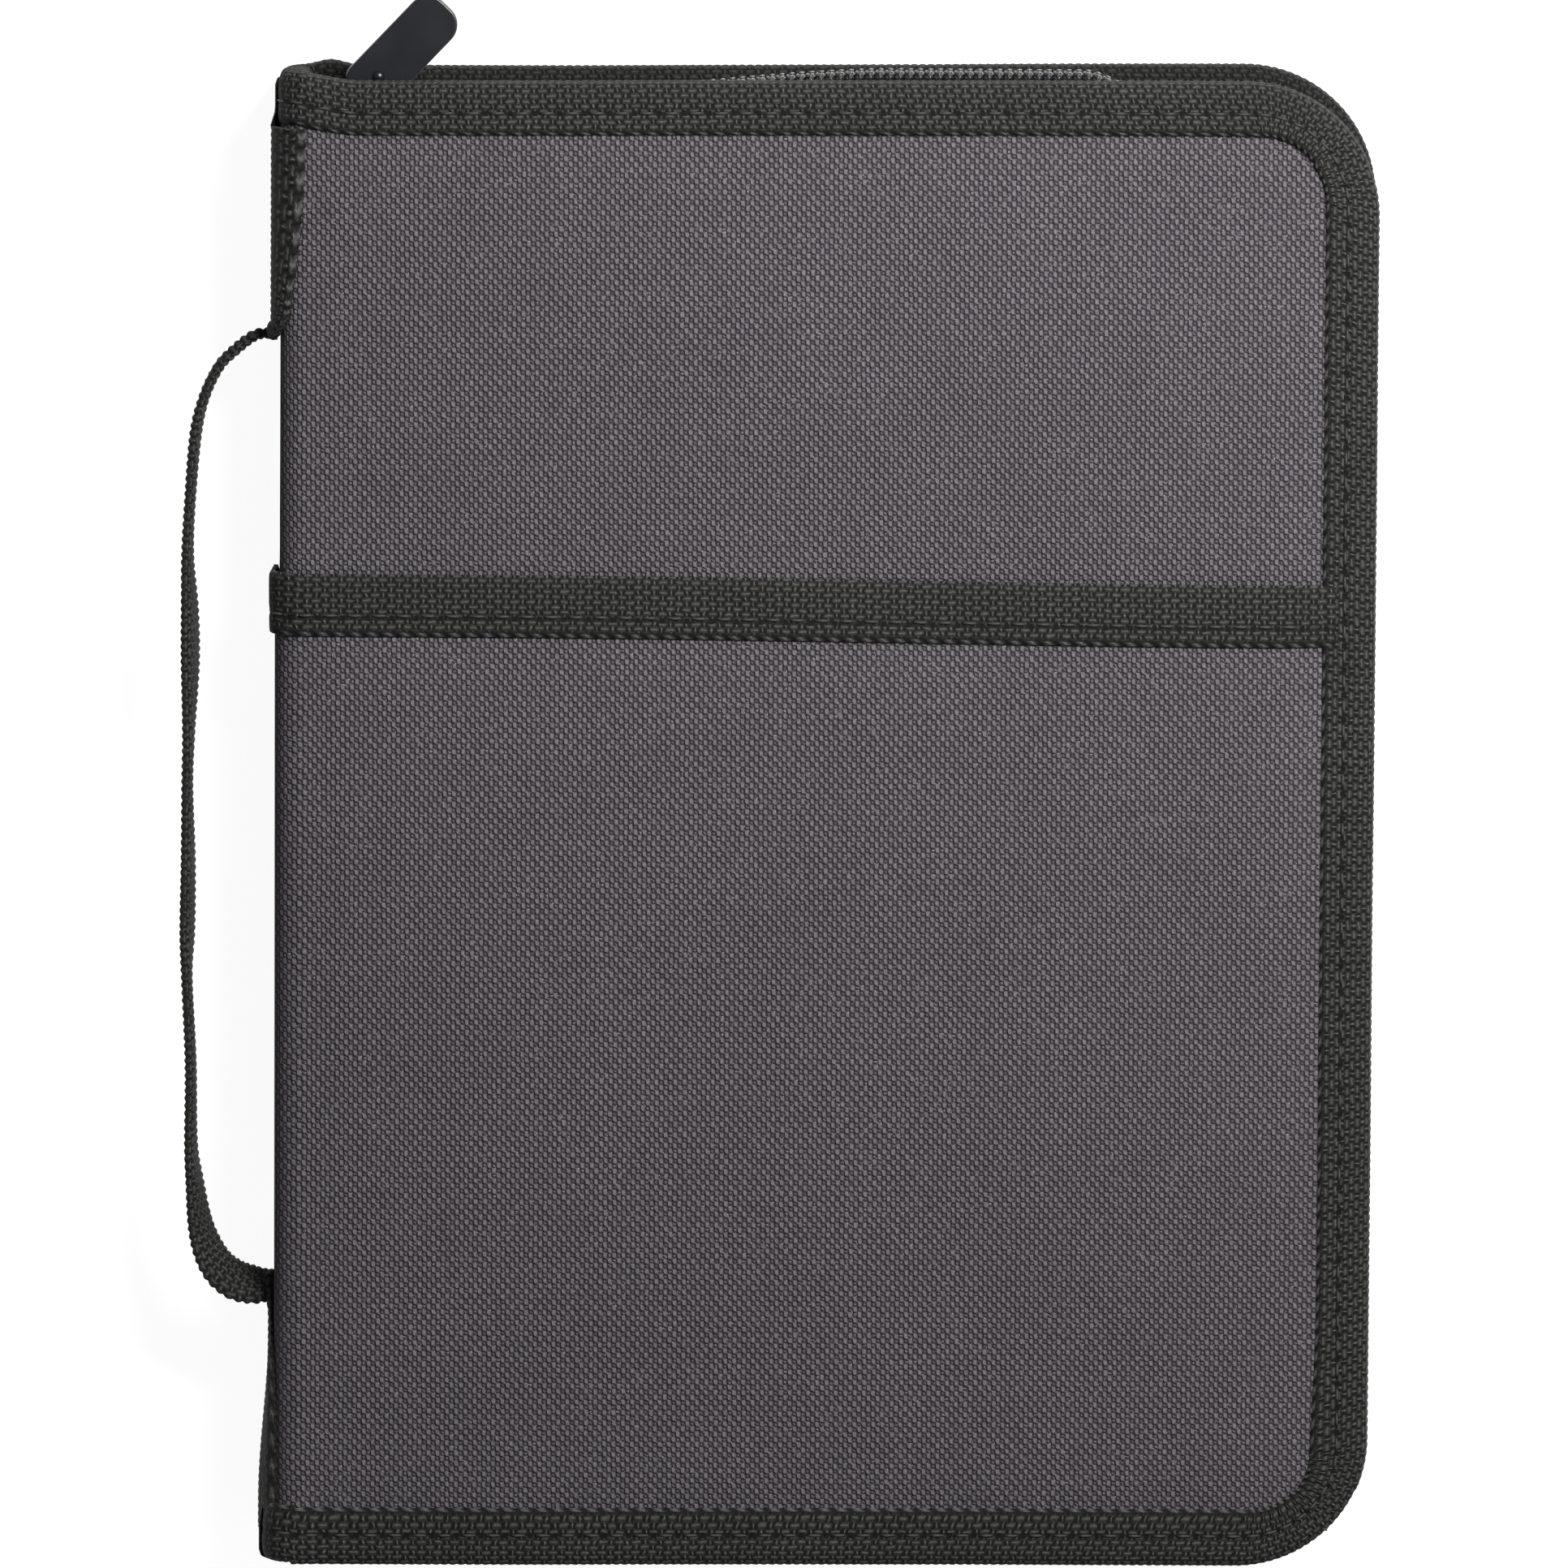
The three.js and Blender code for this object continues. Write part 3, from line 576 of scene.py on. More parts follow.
TOP_RUN = RIGHT - CORNER - FOLD_END
EDGE_WRAP = FOLD_ARC + 3.2
ARC_RUN = CORNER * math.pi / 2
SIDE_RUN = 2 * (HALF - CORNER)
EDGE_RUN = 2 * TOP_RUN + 2 * ARC_RUN + SIDE_RUN
TAPE_CORNER_LOSS = (CORNER - TAPE_CORNER) / TAPE_WIDTH
# The edge stitches run on past the open edge, and the tape's weave counts from its own end
SEAM_OVERRUN = 5.0
SEAM_START = EDGE_WRAP - SEAM_OVERRUN
# Places across a tape: its needle holes, and the loops of its rolled edge, which carry a painted highlight
EDGE_HOLES, MOUTH_HOLES, TAPE_RIM = 4.08, 3.3, 9.0


def edge_line(s, inset, corner_loss):
    """Point and outward direction at s millimetres along the open edge, inset from it.

    s starts where the spine's fold ends at the top. The corner's radius falls by corner_loss of the inset."""
    radius = CORNER - max(inset, 0.0) * corner_loss - min(inset, 0.0)
    cx, cy = RIGHT - inset - radius, HALF - inset - radius

    def corner(turn, side):
        nx, ny = math.cos(turn), math.sin(turn)
        return cx + radius * nx, side * cy + radius * ny, nx, ny

    if s <= TOP_RUN:
        return FOLD_END + (cx - FOLD_END) * (s / TOP_RUN), HALF - inset, 0.0, 1.0
    s -= TOP_RUN
    if s <= ARC_RUN:
        return corner(math.pi / 2 - s / CORNER, 1)
    s -= ARC_RUN
    if s <= SIDE_RUN:
        return RIGHT - inset, cy - 2 * cy * (s / SIDE_RUN), 1.0, 0.0
    s -= SIDE_RUN
    if s <= ARC_RUN:
        return corner(-s / CORNER, -1)
    return cx + (FOLD_END - cx) * ((s - ARC_RUN) / TOP_RUN), inset - HALF, 0.0, -1.0


# Finishes

def edge_seam(look, shift=0.0):
    """Where the needle holes of the edge tapes are, across and along the tape."""
    return (EDGE_HOLES, SEAM_START + look.stitch_pitch * shift)


def mouth_seam(look):
    """Where the needle holes of the pocket's mouth tape are, across and along the tape."""
    return (MOUTH_HOLES, look.stitch_pitch / 2 + POCKET_START - MOUTH_START + MOUTH_SEAM_START)


FINISHES = {
    "canvas": canvas_material,
    "tape": lambda look: tape_material(look, "woven_tape", rim=TAPE_RIM, seam=edge_seam(look, 0.5)),
    # The back cover's tape is the same tape at half its colour: painted shade
    "back_tape": lambda look: tape_material(look, "back_tape_painted_shade", seam=edge_seam(look), shade=0.5),
    "mouth_tape": lambda look: tape_material(look, "mouth_tape_weave", seam=mouth_seam(look)),
    # The spine's end tapes are the tape at three quarters of its colour: painted shade
    "end_tape": lambda look: tape_material(look, "end_tape_painted_shade", shade=0.75),
    "webbing": lambda look: tape_material(look, "handle_webbing", 0.9, shade=0.9),
    "zip_tape": lambda look: lining_material("zip_tape_weave", 0.55, (0.012, 0.012, 0.013),
                                             (0.05, 0.05, 0.052)),
    "lining": lambda look: lining_material("lining_twill", 0.42, (0.014, 0.014, 0.016), (0.05, 0.05, 0.055)),
    "sleeve": lambda look: lining_material("sleeve_twill", 0.5, (0.020, 0.020, 0.023), (0.066, 0.066, 0.072)),
    "elastic": lambda look: lining_material("elastic_rib", 0.9, (0.010, 0.010, 0.011), (0.045, 0.045, 0.047)),
    "thread": lambda look: thread_material("sewing_thread", (0.050, 0.050, 0.048)),
    # The coil's chain stitch is painted pale, as a row of painted glints on the coil
    "coil_glint_thread": lambda look: thread_material("coil_glint_thread", (0.32, 0.32, 0.31)),
    "slider": lambda look: metal_material("slider_black", (0.018, 0.018, 0.020), (0.16, 0.16, 0.16),
                                          0.34, 0.75),
    "steel": lambda look: metal_material("bright_steel", (0.42, 0.43, 0.44), (0.68, 0.68, 0.68), 0.26, 1.0),
    "coil": lambda look: coil_material(),
    "tab": lambda look: tab_material(),
    "cover": lambda look: cover_material(),
    "board": lambda look: board_material(),
    "foam": lambda look: foam_material(),
    "paper": lambda look: paper_material(),
}
# Materials are made once, when a piece first asks for them
made_finishes = {}


def finish_of(key):
    if key not in made_finishes:
        made_finishes[key] = FINISHES[key](bpy.context.scene.journal_look)
    return made_finishes[key]


# Canvas

CLOTH_THICK = 0.45
SHEET_INSET = 6.0
CANVAS_RUN = RIGHT - SHEET_INSET - FOLD_END
CANVAS_HALF = HALF - SHEET_INSET
SPINE_RUN = FOLD_ARC + SPINE_FLAT
SEAM_X = RIGHT - TAPE_WIDTH
SEAM_Y = HALF - TAPE_WIDTH
FINE_END = 4.0


def rise_from(distance, height, reach=3.2, sink=-0.25):
    """Cloth that comes up out of a seam."""
    if distance <= 0:
        return sink
    return sink + (height - sink) * (1 - math.exp(-distance / reach))


def corner_distance(x, y):
    """Distance from the binding's inner edge, with its round corners, for a point on the cover's face."""
    dx, dy = SEAM_X - x, SEAM_Y - abs(y)
    if dx < TAPE_CORNER and dy < TAPE_CORNER:
        return TAPE_CORNER - math.hypot(TAPE_CORNER - dx, TAPE_CORNER - dy)
    return min(dx, dy)


def pucker(along, distance, pitch):
    """Small gathers that the stitches pull into the cloth beside a seam."""
    return 0.07 * math.sin(math.pi * along / pitch) * math.exp(-max(distance, 0) / 2.6)


def cover_height(w, y, look, front):
    """How far a cover's canvas stands off its flat, with the seams, the crown and a slow unevenness."""
    x = FOLD_END + max(w, 0)
    distance = corner_distance(x, y)
    bottom = -SEAM_Y
    if front and y > POCKET_MOUTH:
        bottom = MOUTH_TOP
        distance = min(distance, y - MOUTH_TOP + 1.5)
    middle, reach = (SEAM_Y + bottom) / 2, (SEAM_Y - bottom) / 2
    bulge = max(0.0, 1 - ((y - middle) / reach) ** 2) * max(0.0, 1 - (2 * (x + 2) / 158) ** 4)
    crown, rise, seed = (look.panel_crown, 0.12, 0.4) if front else (0.25, 0.0, 2.2)
    height = rise_from(distance, rise) + crown * bulge
    wobble = 0.10 * ripple(x, y, seed) * smooth_step(0, 12, distance)
    height = (height + wobble) * smooth_step(-FOLD_ARC, 6.0, w)
    return height + pucker(x if abs(SEAM_Y - abs(y)) < 4 else y, distance, look.stitch_pitch)


def canvas_sheet(name, look, front):
    """One cover's canvas, in finer steps round the fold, as far as the middle of the spine."""
    def flat(u, v):
        return two_pace(u, 0.22, -SPINE_RUN, FINE_END, CANVAS_RUN), (2 * v - 1) * CANVAS_HALF

    def place(u, v):
        w, y = flat(u, v)
        x, z = skin(w, cover_height(w, y, look, front), front)
        sag = 0.12 * ripple(w, y, 1.3) if w < -FOLD_ARC else 0.0
        return (x - sag - 0.02, y, z)

    return shaped_grid(name, 150, 170, place, flat, finish_of("canvas"), CLOTH_THICK)


class JOURNAL_OT_canvas(bpy.types.Operator):
    """Canvas of both covers, which wraps round the folds to the middle of the spine"""

    bl_idname = "journal.canvas"
    bl_label = "Canvas"

    def execute(self, context):
        spine_part = {"front": ["spine_outer_canvas"], "back": []}
        for front, side in SIDES:
            sheet = canvas_sheet(side + "_canvas_sheet", context.scene.journal_look, front)
            cloth(sheet, SPINE_RUN + CANVAS_RUN, 2 * CANVAS_HALF, side + "_board", "spine_board")
            bend(sheet, front, "canvas", side + "_outer_canvas", *spine_part[side])
        return {"FINISHED"}


# Pocket

POCKET_START, MOUTH_START = 2.2 - SPINE_RUN, 2.0 - SPINE_RUN
POCKET_HIGH = MOUTH_TOP - 1.0
POCKET_RUN = POCKET_HIGH + CANVAS_HALF
MOUTH_SEAM = POCKET_MOUTH + 3.2
MOUTH_SEAM_START = 2
# The mouth tape's section: place over the mouth's lower edge, and height off the cloth
MOUTH_SECTION = [(0.0, 0.05), (-0.08, 0.3), (0.1, 0.52), (0.9, 0.6), (2.4, 0.62), (3.2, 0.46), (4.1, 0.64),
                 (7.9, 0.66), (9.0, 0.6), (9.5, 0.25), (9.55, -0.2), (9.2, -0.52), (7.0, -0.55), (6.9, -0.3),
                 (8.7, -0.15), (8.8, 0.1), (1.5, 0.06)]


def pocket_height(w, y, look):
    """The pocket's height over the flat cover: seams at three sides, loose at its mouth."""
    x = FOLD_END + max(w, 0)
    seam = corner_distance(x, y) if y < 0 else SEAM_X - x
    across = max(0.0, 1 - (2 * (x + 3) / 160) ** 2) ** 0.8
    along = max(0.0, 1 - ((y + 38) / (72 if y > -38 else 66)) ** 2)
    base = 0.75 + 0.35 * smooth_step(-1.0, 1.0, y / HALF)
    height = rise_from(seam, base, 3.6, -0.1) + look.pocket_crown * across * along
    height += 0.16 * ripple(x * 1.1, y, 3.1) * smooth_step(0, 14, seam)
    share = smooth_step(-FOLD_ARC, 8.0, w)
    return base * 0.75 * (1 - share) + height * share + pucker(x if y < 0 else y, seam, look.stitch_pitch)


def pocket_panel(look):
    def spot(u, v):
        return two_pace(u, 0.2, POCKET_START, FINE_END, CANVAS_RUN), v * POCKET_RUN - CANVAS_HALF

    def place(u, v):
        w, y = spot(u, v)
        x, z = skin(w, pocket_height(w, y, look))
        return (x, y, z)

    def flat(u, v):
        """The weave starts half a yarn off the cover's."""
        w, y = spot(u, v)
        return (w + 0.35, y + 0.2)

    panel = shaped_grid("pocket_panel", 150, 130, place, flat, finish_of("canvas"), CLOTH_THICK)
    return cloth(panel, CANVAS_RUN - POCKET_START, POCKET_RUN, "front_canvas_sheet")


def mouth_point(w, y, look, out):
    """A point on the mouth tape, out millimetres over the pocket's cloth. The tape droops to the right."""
    y -= 0.9 * smooth_step(30, 150, w) - 0.2
    x, z = skin(w, pocket_height(w, min(y, POCKET_HIGH), look) + out)
    return Vector((x, y, z))


def mouth_tape(look):
    """Tape folded over the pocket's mouth: outer face, rolled top edge and a short inner leg."""
    total, at = polyline(MOUTH_SECTION)
    run = CANVAS_RUN - MOUTH_START

    def place(u, v):
        w = MOUTH_START + u * run
        rise, out = at(v)
        scallop = 0.14 * ribs(w, look.tape_pitch) * smooth_step(1.3, 0.0, rise)
        swell = 0.25 * hump(w + FOLD_ARC, 3.0)
        return mouth_point(w, POCKET_MOUTH + rise - scallop, look, out + swell)

    def flat(u, v):
        return (u * run, min(v * total, 12.5))

    return shaped_grid("pocket_mouth_tape", 420, 34, place, flat, finish_of("mouth_tape"))


def seam_spots(point, low, high, pitch, ahead=1.0):
    """Places of the stitches from low to high along a seam, each with a place ahead of it."""
    starts = [low + i * pitch for i in range(int((high - low) / pitch))]
    return [(point(s), point(s + ahead)) for s in starts]


def surface_up(here, along):
    """Outward direction of the case's skin at a point, square to the seam's direction."""
    outward = Vector((0, 0, 1 if here.z > MID else -1))
    if here.x < FOLD_END:
        outward = Vector((here.x - FOLD_END, 0, here.z - (THICK - FOLD if here.z > MID else FOLD)))
    outward -= along * outward.dot(along)
    return outward.normalized()


def thread_bars(name, finish, spots, size, pitch, arch, up_of=surface_up):
    """Lengths of thread, each a slim rounded bar with an arched middle that lies along its seam."""
    bm = bmesh.new()
    layer = bm.loops.layers.uv.new(CLOTH_MAP)
    for index, (here, ahead) in enumerate(spots):
        bar = bmesh.ops.create_icosphere(bm, subdivisions=1, radius=0.5)["verts"]
        bmesh.ops.scale(bm, vec=size, verts=bar)
        for vert in bar:
            if abs(vert.co.x) < size[0] * 0.35:
                vert.co.z += arch
        for face in {face for vert in bar for face in vert.link_faces}:
            for loop in face.loops:
                loop[layer].uv = (loop.vert.co.x + index * pitch, loop.vert.co.y)
        along = (ahead - here).normalized()
        up = up_of(here, along)
        turned(bm, bar, Matrix((along, up.cross(along), up)).transposed(), here)
    return finish_mesh(bm, name, finish_of(finish))


def stitches(name, spots, look):
    pitch = look.stitch_pitch
    return thread_bars(name, "thread", spots, (pitch * 0.72, 0.52, 0.40), pitch, 0.06)


class JOURNAL_OT_pocket(bpy.types.Operator):
    """Outer pocket's panel, crowned over its middle and wrapped round the spine's fold"""

    bl_idname = "journal.pocket"
    bl_label = "Outer pocket"

    def execute(self, context):
        look = context.scene.journal_look

        def seam_point(w):
            return mouth_point(w, MOUTH_SEAM, look, 0.62)

        bend(pocket_panel(look), True, "canvas", "outer_pocket")
        bend(mouth_tape(look), True, "woven_tape", "pocket_mouth_binding")
        spots = seam_spots(seam_point, POCKET_START + MOUTH_SEAM_START, CANVAS_RUN - 3, look.stitch_pitch)
        bend(stitches("mouth_stitches", spots, look), True, "woven_tape")
        return {"FINISHED"}


# Edge tapes

# Sections of the tapes: inset from the case's edge, and height off the cover's face
EDGE_SECTION = [
    (8.15, -0.35), (8.30, -0.02), (8.10, 0.26), (7.4, 0.38), (5.6, 0.40), (4.75, 0.24), (3.9, 0.42),
    (1.9, 0.40), (0.9, 0.22), (0.25, -0.35), (-0.05, -1.2), (-0.02, -2.6), (0.12, -3.6), (0.55, -4.15),
    (1.4, -4.34), (4.2, -4.32), (4.5, -4.1), (4.2, -3.86), (1.2, -3.8), (0.62, -2.9), (0.62, -1.0),
    (1.3, -0.3), (7.6, -0.3),
]
END_SECTION = [(8.2, -0.3), (8.3, 0.1), (8.1, 0.34), (4.8, 0.30), (1.0, 0.30), (0.2, -0.2), (-0.05, -1.4),
               (0.0, -3.4), (0.5, -4.1), (1.4, -4.34), (7.6, -4.3), (7.7, -3.9), (1.2, -3.8), (0.6, -3.0),
               (0.6, -1.0), (1.3, -0.3)]
SEAM_INSET = 4.75
TAPE_STEP = 0.42


def skew(x, y):
    """How far the back cover sits askew: its top edge stands a little prouder towards the fore edge."""
    return 0.9 * smooth_step(-60, 70, x) * (1 if y > 0 else 0.35)


def flare(y, front):
    """How far the tape's end stands off the spine at the case's lower end."""
    return (1.9 if front else 0.9) * smooth_step(-98, -108, y)


def bunch(s, front):
    """How far the tape's layers pile up past the case's top edge, where its end turns on to the spine."""
    return 1.25 * smooth_step(8, -2, s) if front else 0.8 * hump(s - 3, 2.6)


def edge_point(s, inset, rise, front):
    """A point of an edge tape: along its fold's arc before and after the open edge, else along the edge."""
    if s < 0 or s > EDGE_RUN:
        x, z = skin(-max(-s, s - EDGE_RUN), rise, front)
        y = HALF - inset if s < 0 else inset - HALF
        return Vector((x - flare(y, front), y + bunch(s, front), z))
    x, y, _, _ = edge_line(s, inset, TAPE_CORNER_LOSS)
    if not front:
        y += skew(x, y)
    elif abs(y) > HALF - 12:
        y += 0.35 * math.sin((x + 20) / 52.0)
    z = THICK + rise if front else -rise
    return Vector((x - flare(y, front) * smooth_step(-68, FOLD_END, x), y + bunch(s, front), z))


def edge_tape(name, front, look):
    """Tape folded over a cover's open edge, from the spine's top end to its bottom end."""
    total, at = polyline(EDGE_SECTION)
    length = EDGE_RUN + 2 * EDGE_WRAP

    def place(u, v):
        s = -EDGE_WRAP + u * length
        inset, rise = at(v)
        rib = ribs(s, look.tape_pitch)
        outer = smooth_step(1.6, 0.2, inset) * (1 if rise < 0.3 else 0.5)
        inner = smooth_step(7.0, 8.1, inset)
        inset += 0.16 * (1 - rib) * outer - 0.14 * rib * inner + 0.05 * ripple(s, 3.0, 0.7)
        rise += 0.06 * ripple(s * 1.6, inset * 4, 1.9) * (rise > 0)
        gather = pucker(s, abs(inset - SEAM_INSET), look.stitch_pitch) * (rise > 0)
        spot = edge_point(s, inset, rise, front)
        turning = smooth_step(RIGHT - 26, RIGHT - 16, spot.x) * smooth_step(HALF - 26, HALF - 16, abs(spot.y))
        gather += 0.30 * ribs(s, 2.7) * turning * smooth_step(3.0, 7.0, inset) * (rise > 0)
        inset += 0.9 * smooth_step(-70, -104, spot.y) * smooth_step(5.2, 8.0, inset)
        swell = 0.28 * (hump(s, 2.5) + hump(s - EDGE_RUN, 2.5)) * (rise > -1)
        return edge_point(s, inset, rise + gather + swell, front)

    # The back cover's tape is a darker copy of the front's: painted shade
    finish = finish_of("tape" if front else "back_tape")
    return shaped_grid(name, int(length / TAPE_STEP), 46, place, (length, total), finish)


def edge_stitches(name, front, look):
    def seam_point(s):
        return edge_point(s, SEAM_INSET, 0.30, front)

    spots = seam_spots(seam_point, -SEAM_OVERRUN, EDGE_RUN + SEAM_OVERRUN, look.stitch_pitch, 0.5)
    return stitches(name, spots, look)


def spine_end_tape(name, look, top):
    """Tape over one end of the spine: an outer leg, a rolled edge and an inner leg, its folded end proud."""
    sign = 1 if top else -1
    total, at = polyline(END_SECTION)
    low, high = FOLD + 0.4, THICK - FOLD - 0.4

    def place(u, v):
        z = low + u * (high - low)
        inset, rise = at(v)
        inset += 0.12 * (1 - ribs(z, look.tape_pitch)) * smooth_step(1.6, 0.2, inset)
        proud = 0.55 * hump(z - high + 1.5, 2.2) * smooth_step(-2, 0, rise)
        if top:
            proud += 0.8 * smooth_step(5.0, 8.3, inset) * smooth_step(high - 5, high, z)
        y = sign * (HALF - inset + 0.25 * proud)
        lean = flare(y, False) + (flare(y, True) - flare(y, False)) * smooth_step(low, high, z)
        return (LEFT - rise - 0.12 - proud - lean, y, z)

    # The end tape is a darker copy of the tape: painted shade
    return shaped_grid(name, 46, 36, place, (high - low, total), finish_of("end_tape"))


class JOURNAL_OT_edge_tapes(bpy.types.Operator):
    """Woven tape round the edges of both covers and over the spine's ends, with its stitches"""

    bl_idname = "journal.edge_tapes"
    bl_label = "Edge tapes"

    def execute(self, context):
        look = context.scene.journal_look
        for front, side in SIDES:
            bend(edge_tape(side + "_edge_tape", front, look), front, "woven_tape", side + "_edge_binding")
            bend(edge_stitches(side + "_edge_stitches", front, look), front, "woven_tape")
        for top, end in ENDS:
            tape = spine_end_tape(f"spine_{end}_tape", look, top)
            ride(tape, "spine", "woven_tape", f"spine_{end}_binding")
        return {"FINISHED"}


# Zip

ZIP_START = -76.0
COIL_INSET = 3.9
STOP_X = {True: -74.9, False: -69.9}
COIL_TOP_X, COIL_BOTTOM_X = -57.5, -66.0
WIRE = 0.33
COIL_STEPS = 10
# The zip tape's section: inset from the case's edge, and height from the closing line
ZIP_SECTION = [(1.4, 9.75), (4.4, 9.75), (4.95, 9.45), (5.0, 8.8), (5.02, 5.0), (5.0, 2.0), (5.0, 0.62),
               (5.2, 0.60), (5.45, 0.75), (5.45, 8.6), (5.6, 9.1), (6.4, 9.5), (7.6, 9.6), (7.6, 9.95),
               (1.4, 9.95)]


def bow(x, y):
    """How far the closed zip bows out of the top edge, between the slider's two parking places."""
    return 3.7 * smooth_step(-46, 10, x) * smooth_step(49.5, 38, x) if y > HALF - 12 else 0.0


def zip_point(s, inset, height, front):
    """A point of the zip, height millimetres from the closing line towards its own cover."""
    x, y, nx, ny = edge_line(s, inset, 1.0)
    push = bow(x, y) * smooth_step(9.2, 3.0, height)
    return Vector((x + nx * push, y + ny * push, MID + height if front else MID - height))


def zip_run(top_x, bottom_x):
    """Start and length, along the edge, of what begins at top_x on the top run and ends at bottom_x below."""
    start = top_x - FOLD_END
    return start, EDGE_RUN - (bottom_x - FOLD_END) - start


def zip_tape(name, front):
    """Zip tape: a flange sewn under the binding, a turn, and the wall that carries the coil."""
    total, at = polyline(ZIP_SECTION)
    start, run = zip_run(ZIP_START, ZIP_START)

    def place(u, v):
        return zip_point(start + u * run, *at(v), front)

    return shaped_grid(name, 620, 34, place, (run, total), finish_of("zip_tape"))


def zip_coil(name, front):
    """One coil of the zip: drawn nylon wound in flat loops, whose heads lock between the other coil's."""
    start, run = zip_run(COIL_TOP_X, COIL_BOTTOM_X)
    turns = int(run / TOOTH_PITCH)
    phase = 0.0 if front else 0.5

    def place(u, v):
        angle = 2 * math.pi * (u * turns + phase)
        inset = COIL_INSET + 0.52 * math.sin(angle) * (1.0 + 0.12 * math.cos(2 * angle))
        height = 1.42 - 1.46 * math.cos(angle)
        reach = WIRE * math.cos(2 * math.pi * v)
        beside = WIRE * math.sin(2 * math.pi * v)
        return zip_point(start + u * run + beside, inset + reach * math.sin(angle),
                         height - reach * math.cos(angle), front)

    return shaped_grid(name, turns * COIL_STEPS, 5, place, (run, 1), finish_of("coil"))


def coil_stitches(name, front):
    """The thread that holds a coil down, one chain along its line, painted pale as the coil's glints."""
    def chain_point(s):
        return zip_point(s, 3.05, 1.9, front)

    def outward(here, along):
        return Vector((-along.y, along.x, 0))

    start, run = zip_run(COIL_TOP_X, COIL_BOTTOM_X)
    spots = seam_spots(chain_point, start + 1, start + run - 1, TOOTH_PITCH)
    return thread_bars(name, "coil_glint_thread", spots, (TOOTH_PITCH * 0.62, 0.5, 0.34), 0, 0, outward)


def end_stop(name, top, front):
    """A folded metal stop: a clip with rounded corners."""
    bm = bmesh.new()
    x, y = STOP_X[top], HALF - 3.1
    low, high = (0.55, 2.95) if front else (-2.95, -0.55)
    block(bm, (x, y - 1.6, MID + low), (x + 1.6, y, MID + high))
    soften(bm, 0.35, 3)
    if not top:
        bmesh.ops.scale(bm, vec=(1, -1, 1), verts=bm.verts)
    return finish_mesh(bm, name, finish_of("steel"))


SLIDER_HALF, SLIDER_REAR, SLIDER_MOUTH, LIP = 5.0, 4.0, 4.6, 0.7
PLATE = 1.0
BAIL_HALF = 1.4


def slider_plate(inset):
    """A flat plate of the slider, wider at its mouth than at its rear, with its outer face at an inset."""
    bm = bmesh.new()
    h, rear, mouth = SLIDER_HALF, SLIDER_REAR, SLIDER_MOUTH
    outline = [(-h, -mouth), (-h / 3, -mouth), (h / 3, -rear), (h, -rear),
               (h, rear), (h / 3, rear), (-h / 3, mouth), (-h, mouth)]
    face = bm.faces.new([bm.verts.new((SLIDER_X + x, HALF - inset - PLATE, MID + z)) for x, z in outline])
    pushed(bm, bmesh.ops.extrude_face_region(bm, geom=[face]), (0, PLATE, 0))
    bmesh.ops.recalc_face_normals(bm, faces=bm.faces)
    soften(bm, 0.32, 3)
    return bm


def slider_block(low, high, width):
    """A block of the slider, with corners as x from the middle, inset and height from the closing line."""
    bm = bmesh.new()
    block(bm, *((SLIDER_X + x, HALF - inset, MID + z) for x, inset, z in (low, high)))
    soften(bm, width, 2)
    return bm


def slider_bail():
    """The arched bail: half a ring, with straight legs down to the front plate."""
    bm = bmesh.new()
    ring = bmesh.ops.create_circle(bm, cap_ends=False, segments=10, radius=0.5)["verts"]
    bmesh.ops.scale(bm, vec=(0.8, 1.5, 1), verts=ring)
    turned(bm, ring, Matrix.Rotation(math.pi / 2, 3, "X"), (SLIDER_X + BAIL_HALF, PULL_Y, MID))
    bmesh.ops.spin(bm, geom=ring + bm.edges[:], cent=(SLIDER_X, PULL_Y, MID), axis=(0, 0, 1), angle=math.pi,
                   steps=16, use_duplicate=False)
    for x in (-BAIL_HALF, BAIL_HALF):
        rim = [edge for edge in bm.edges if edge.is_boundary
               and all(abs(vert.co.x - SLIDER_X - x) < 0.6 for vert in edge.verts)]
        pushed(bm, bmesh.ops.extrude_edge_only(bm, edges=rim), (0, HALF - 2.3 - PULL_Y, 0))
    bmesh.ops.holes_fill(bm, edges=[edge for edge in bm.edges if edge.is_boundary], sides=0)
    return bm


def slider_piece():
    """Slider: two tapered plates with lips round the coil, a wedge between them and an arched bail."""
    parts = [slider_plate(1.8), slider_plate(5.8)]
    for low, high in ((-SLIDER_REAR, LIP - SLIDER_REAR), (SLIDER_REAR - LIP, SLIDER_REAR)):
        parts.append(slider_block((-4.6, 4.7, low), (4.8, 2.4, high), 0.18))
    parts += [slider_block((-5, 6.3, -0.25), (-3, 2.3, 0.25), 0.1), slider_bail()]
    whole = bmesh.new()
    for bm in parts:
        bmesh.ops.recalc_face_normals(bm, faces=bm.faces)
        held = bpy.data.meshes.new("held")
        bm.to_mesh(held)
        bm.free()
        whole.from_mesh(held)
        bpy.data.meshes.remove(held)
    return finish_mesh(whole, "slider_body", finish_of("slider"), recalc=False)


TAB_ANGLE = math.radians(46.5)
TAB_LOW, TAB_HIGH = MID + 5.2, MID + 6.8
TAB_HALF, TAB_REACH, TAB_TIP, TAB_ROOT = 4.05, 14.9, 3.2, 2.2
TAB_HOLE = 0.95
CORNER_STEPS = 10
PIN_HEAD = TAB_HIGH - 0.02
# The pin's section: radius and height
PIN_SECTION = [(0.0, 11.2), (1.15, 11.22), (1.3, 11.35), (1.3, 11.85), (0.62, 11.95), (0.6, 12.2),
               (0.6, 18.6), (0.93, 18.8), (0.93, PIN_HEAD), (0.0, PIN_HEAD)]


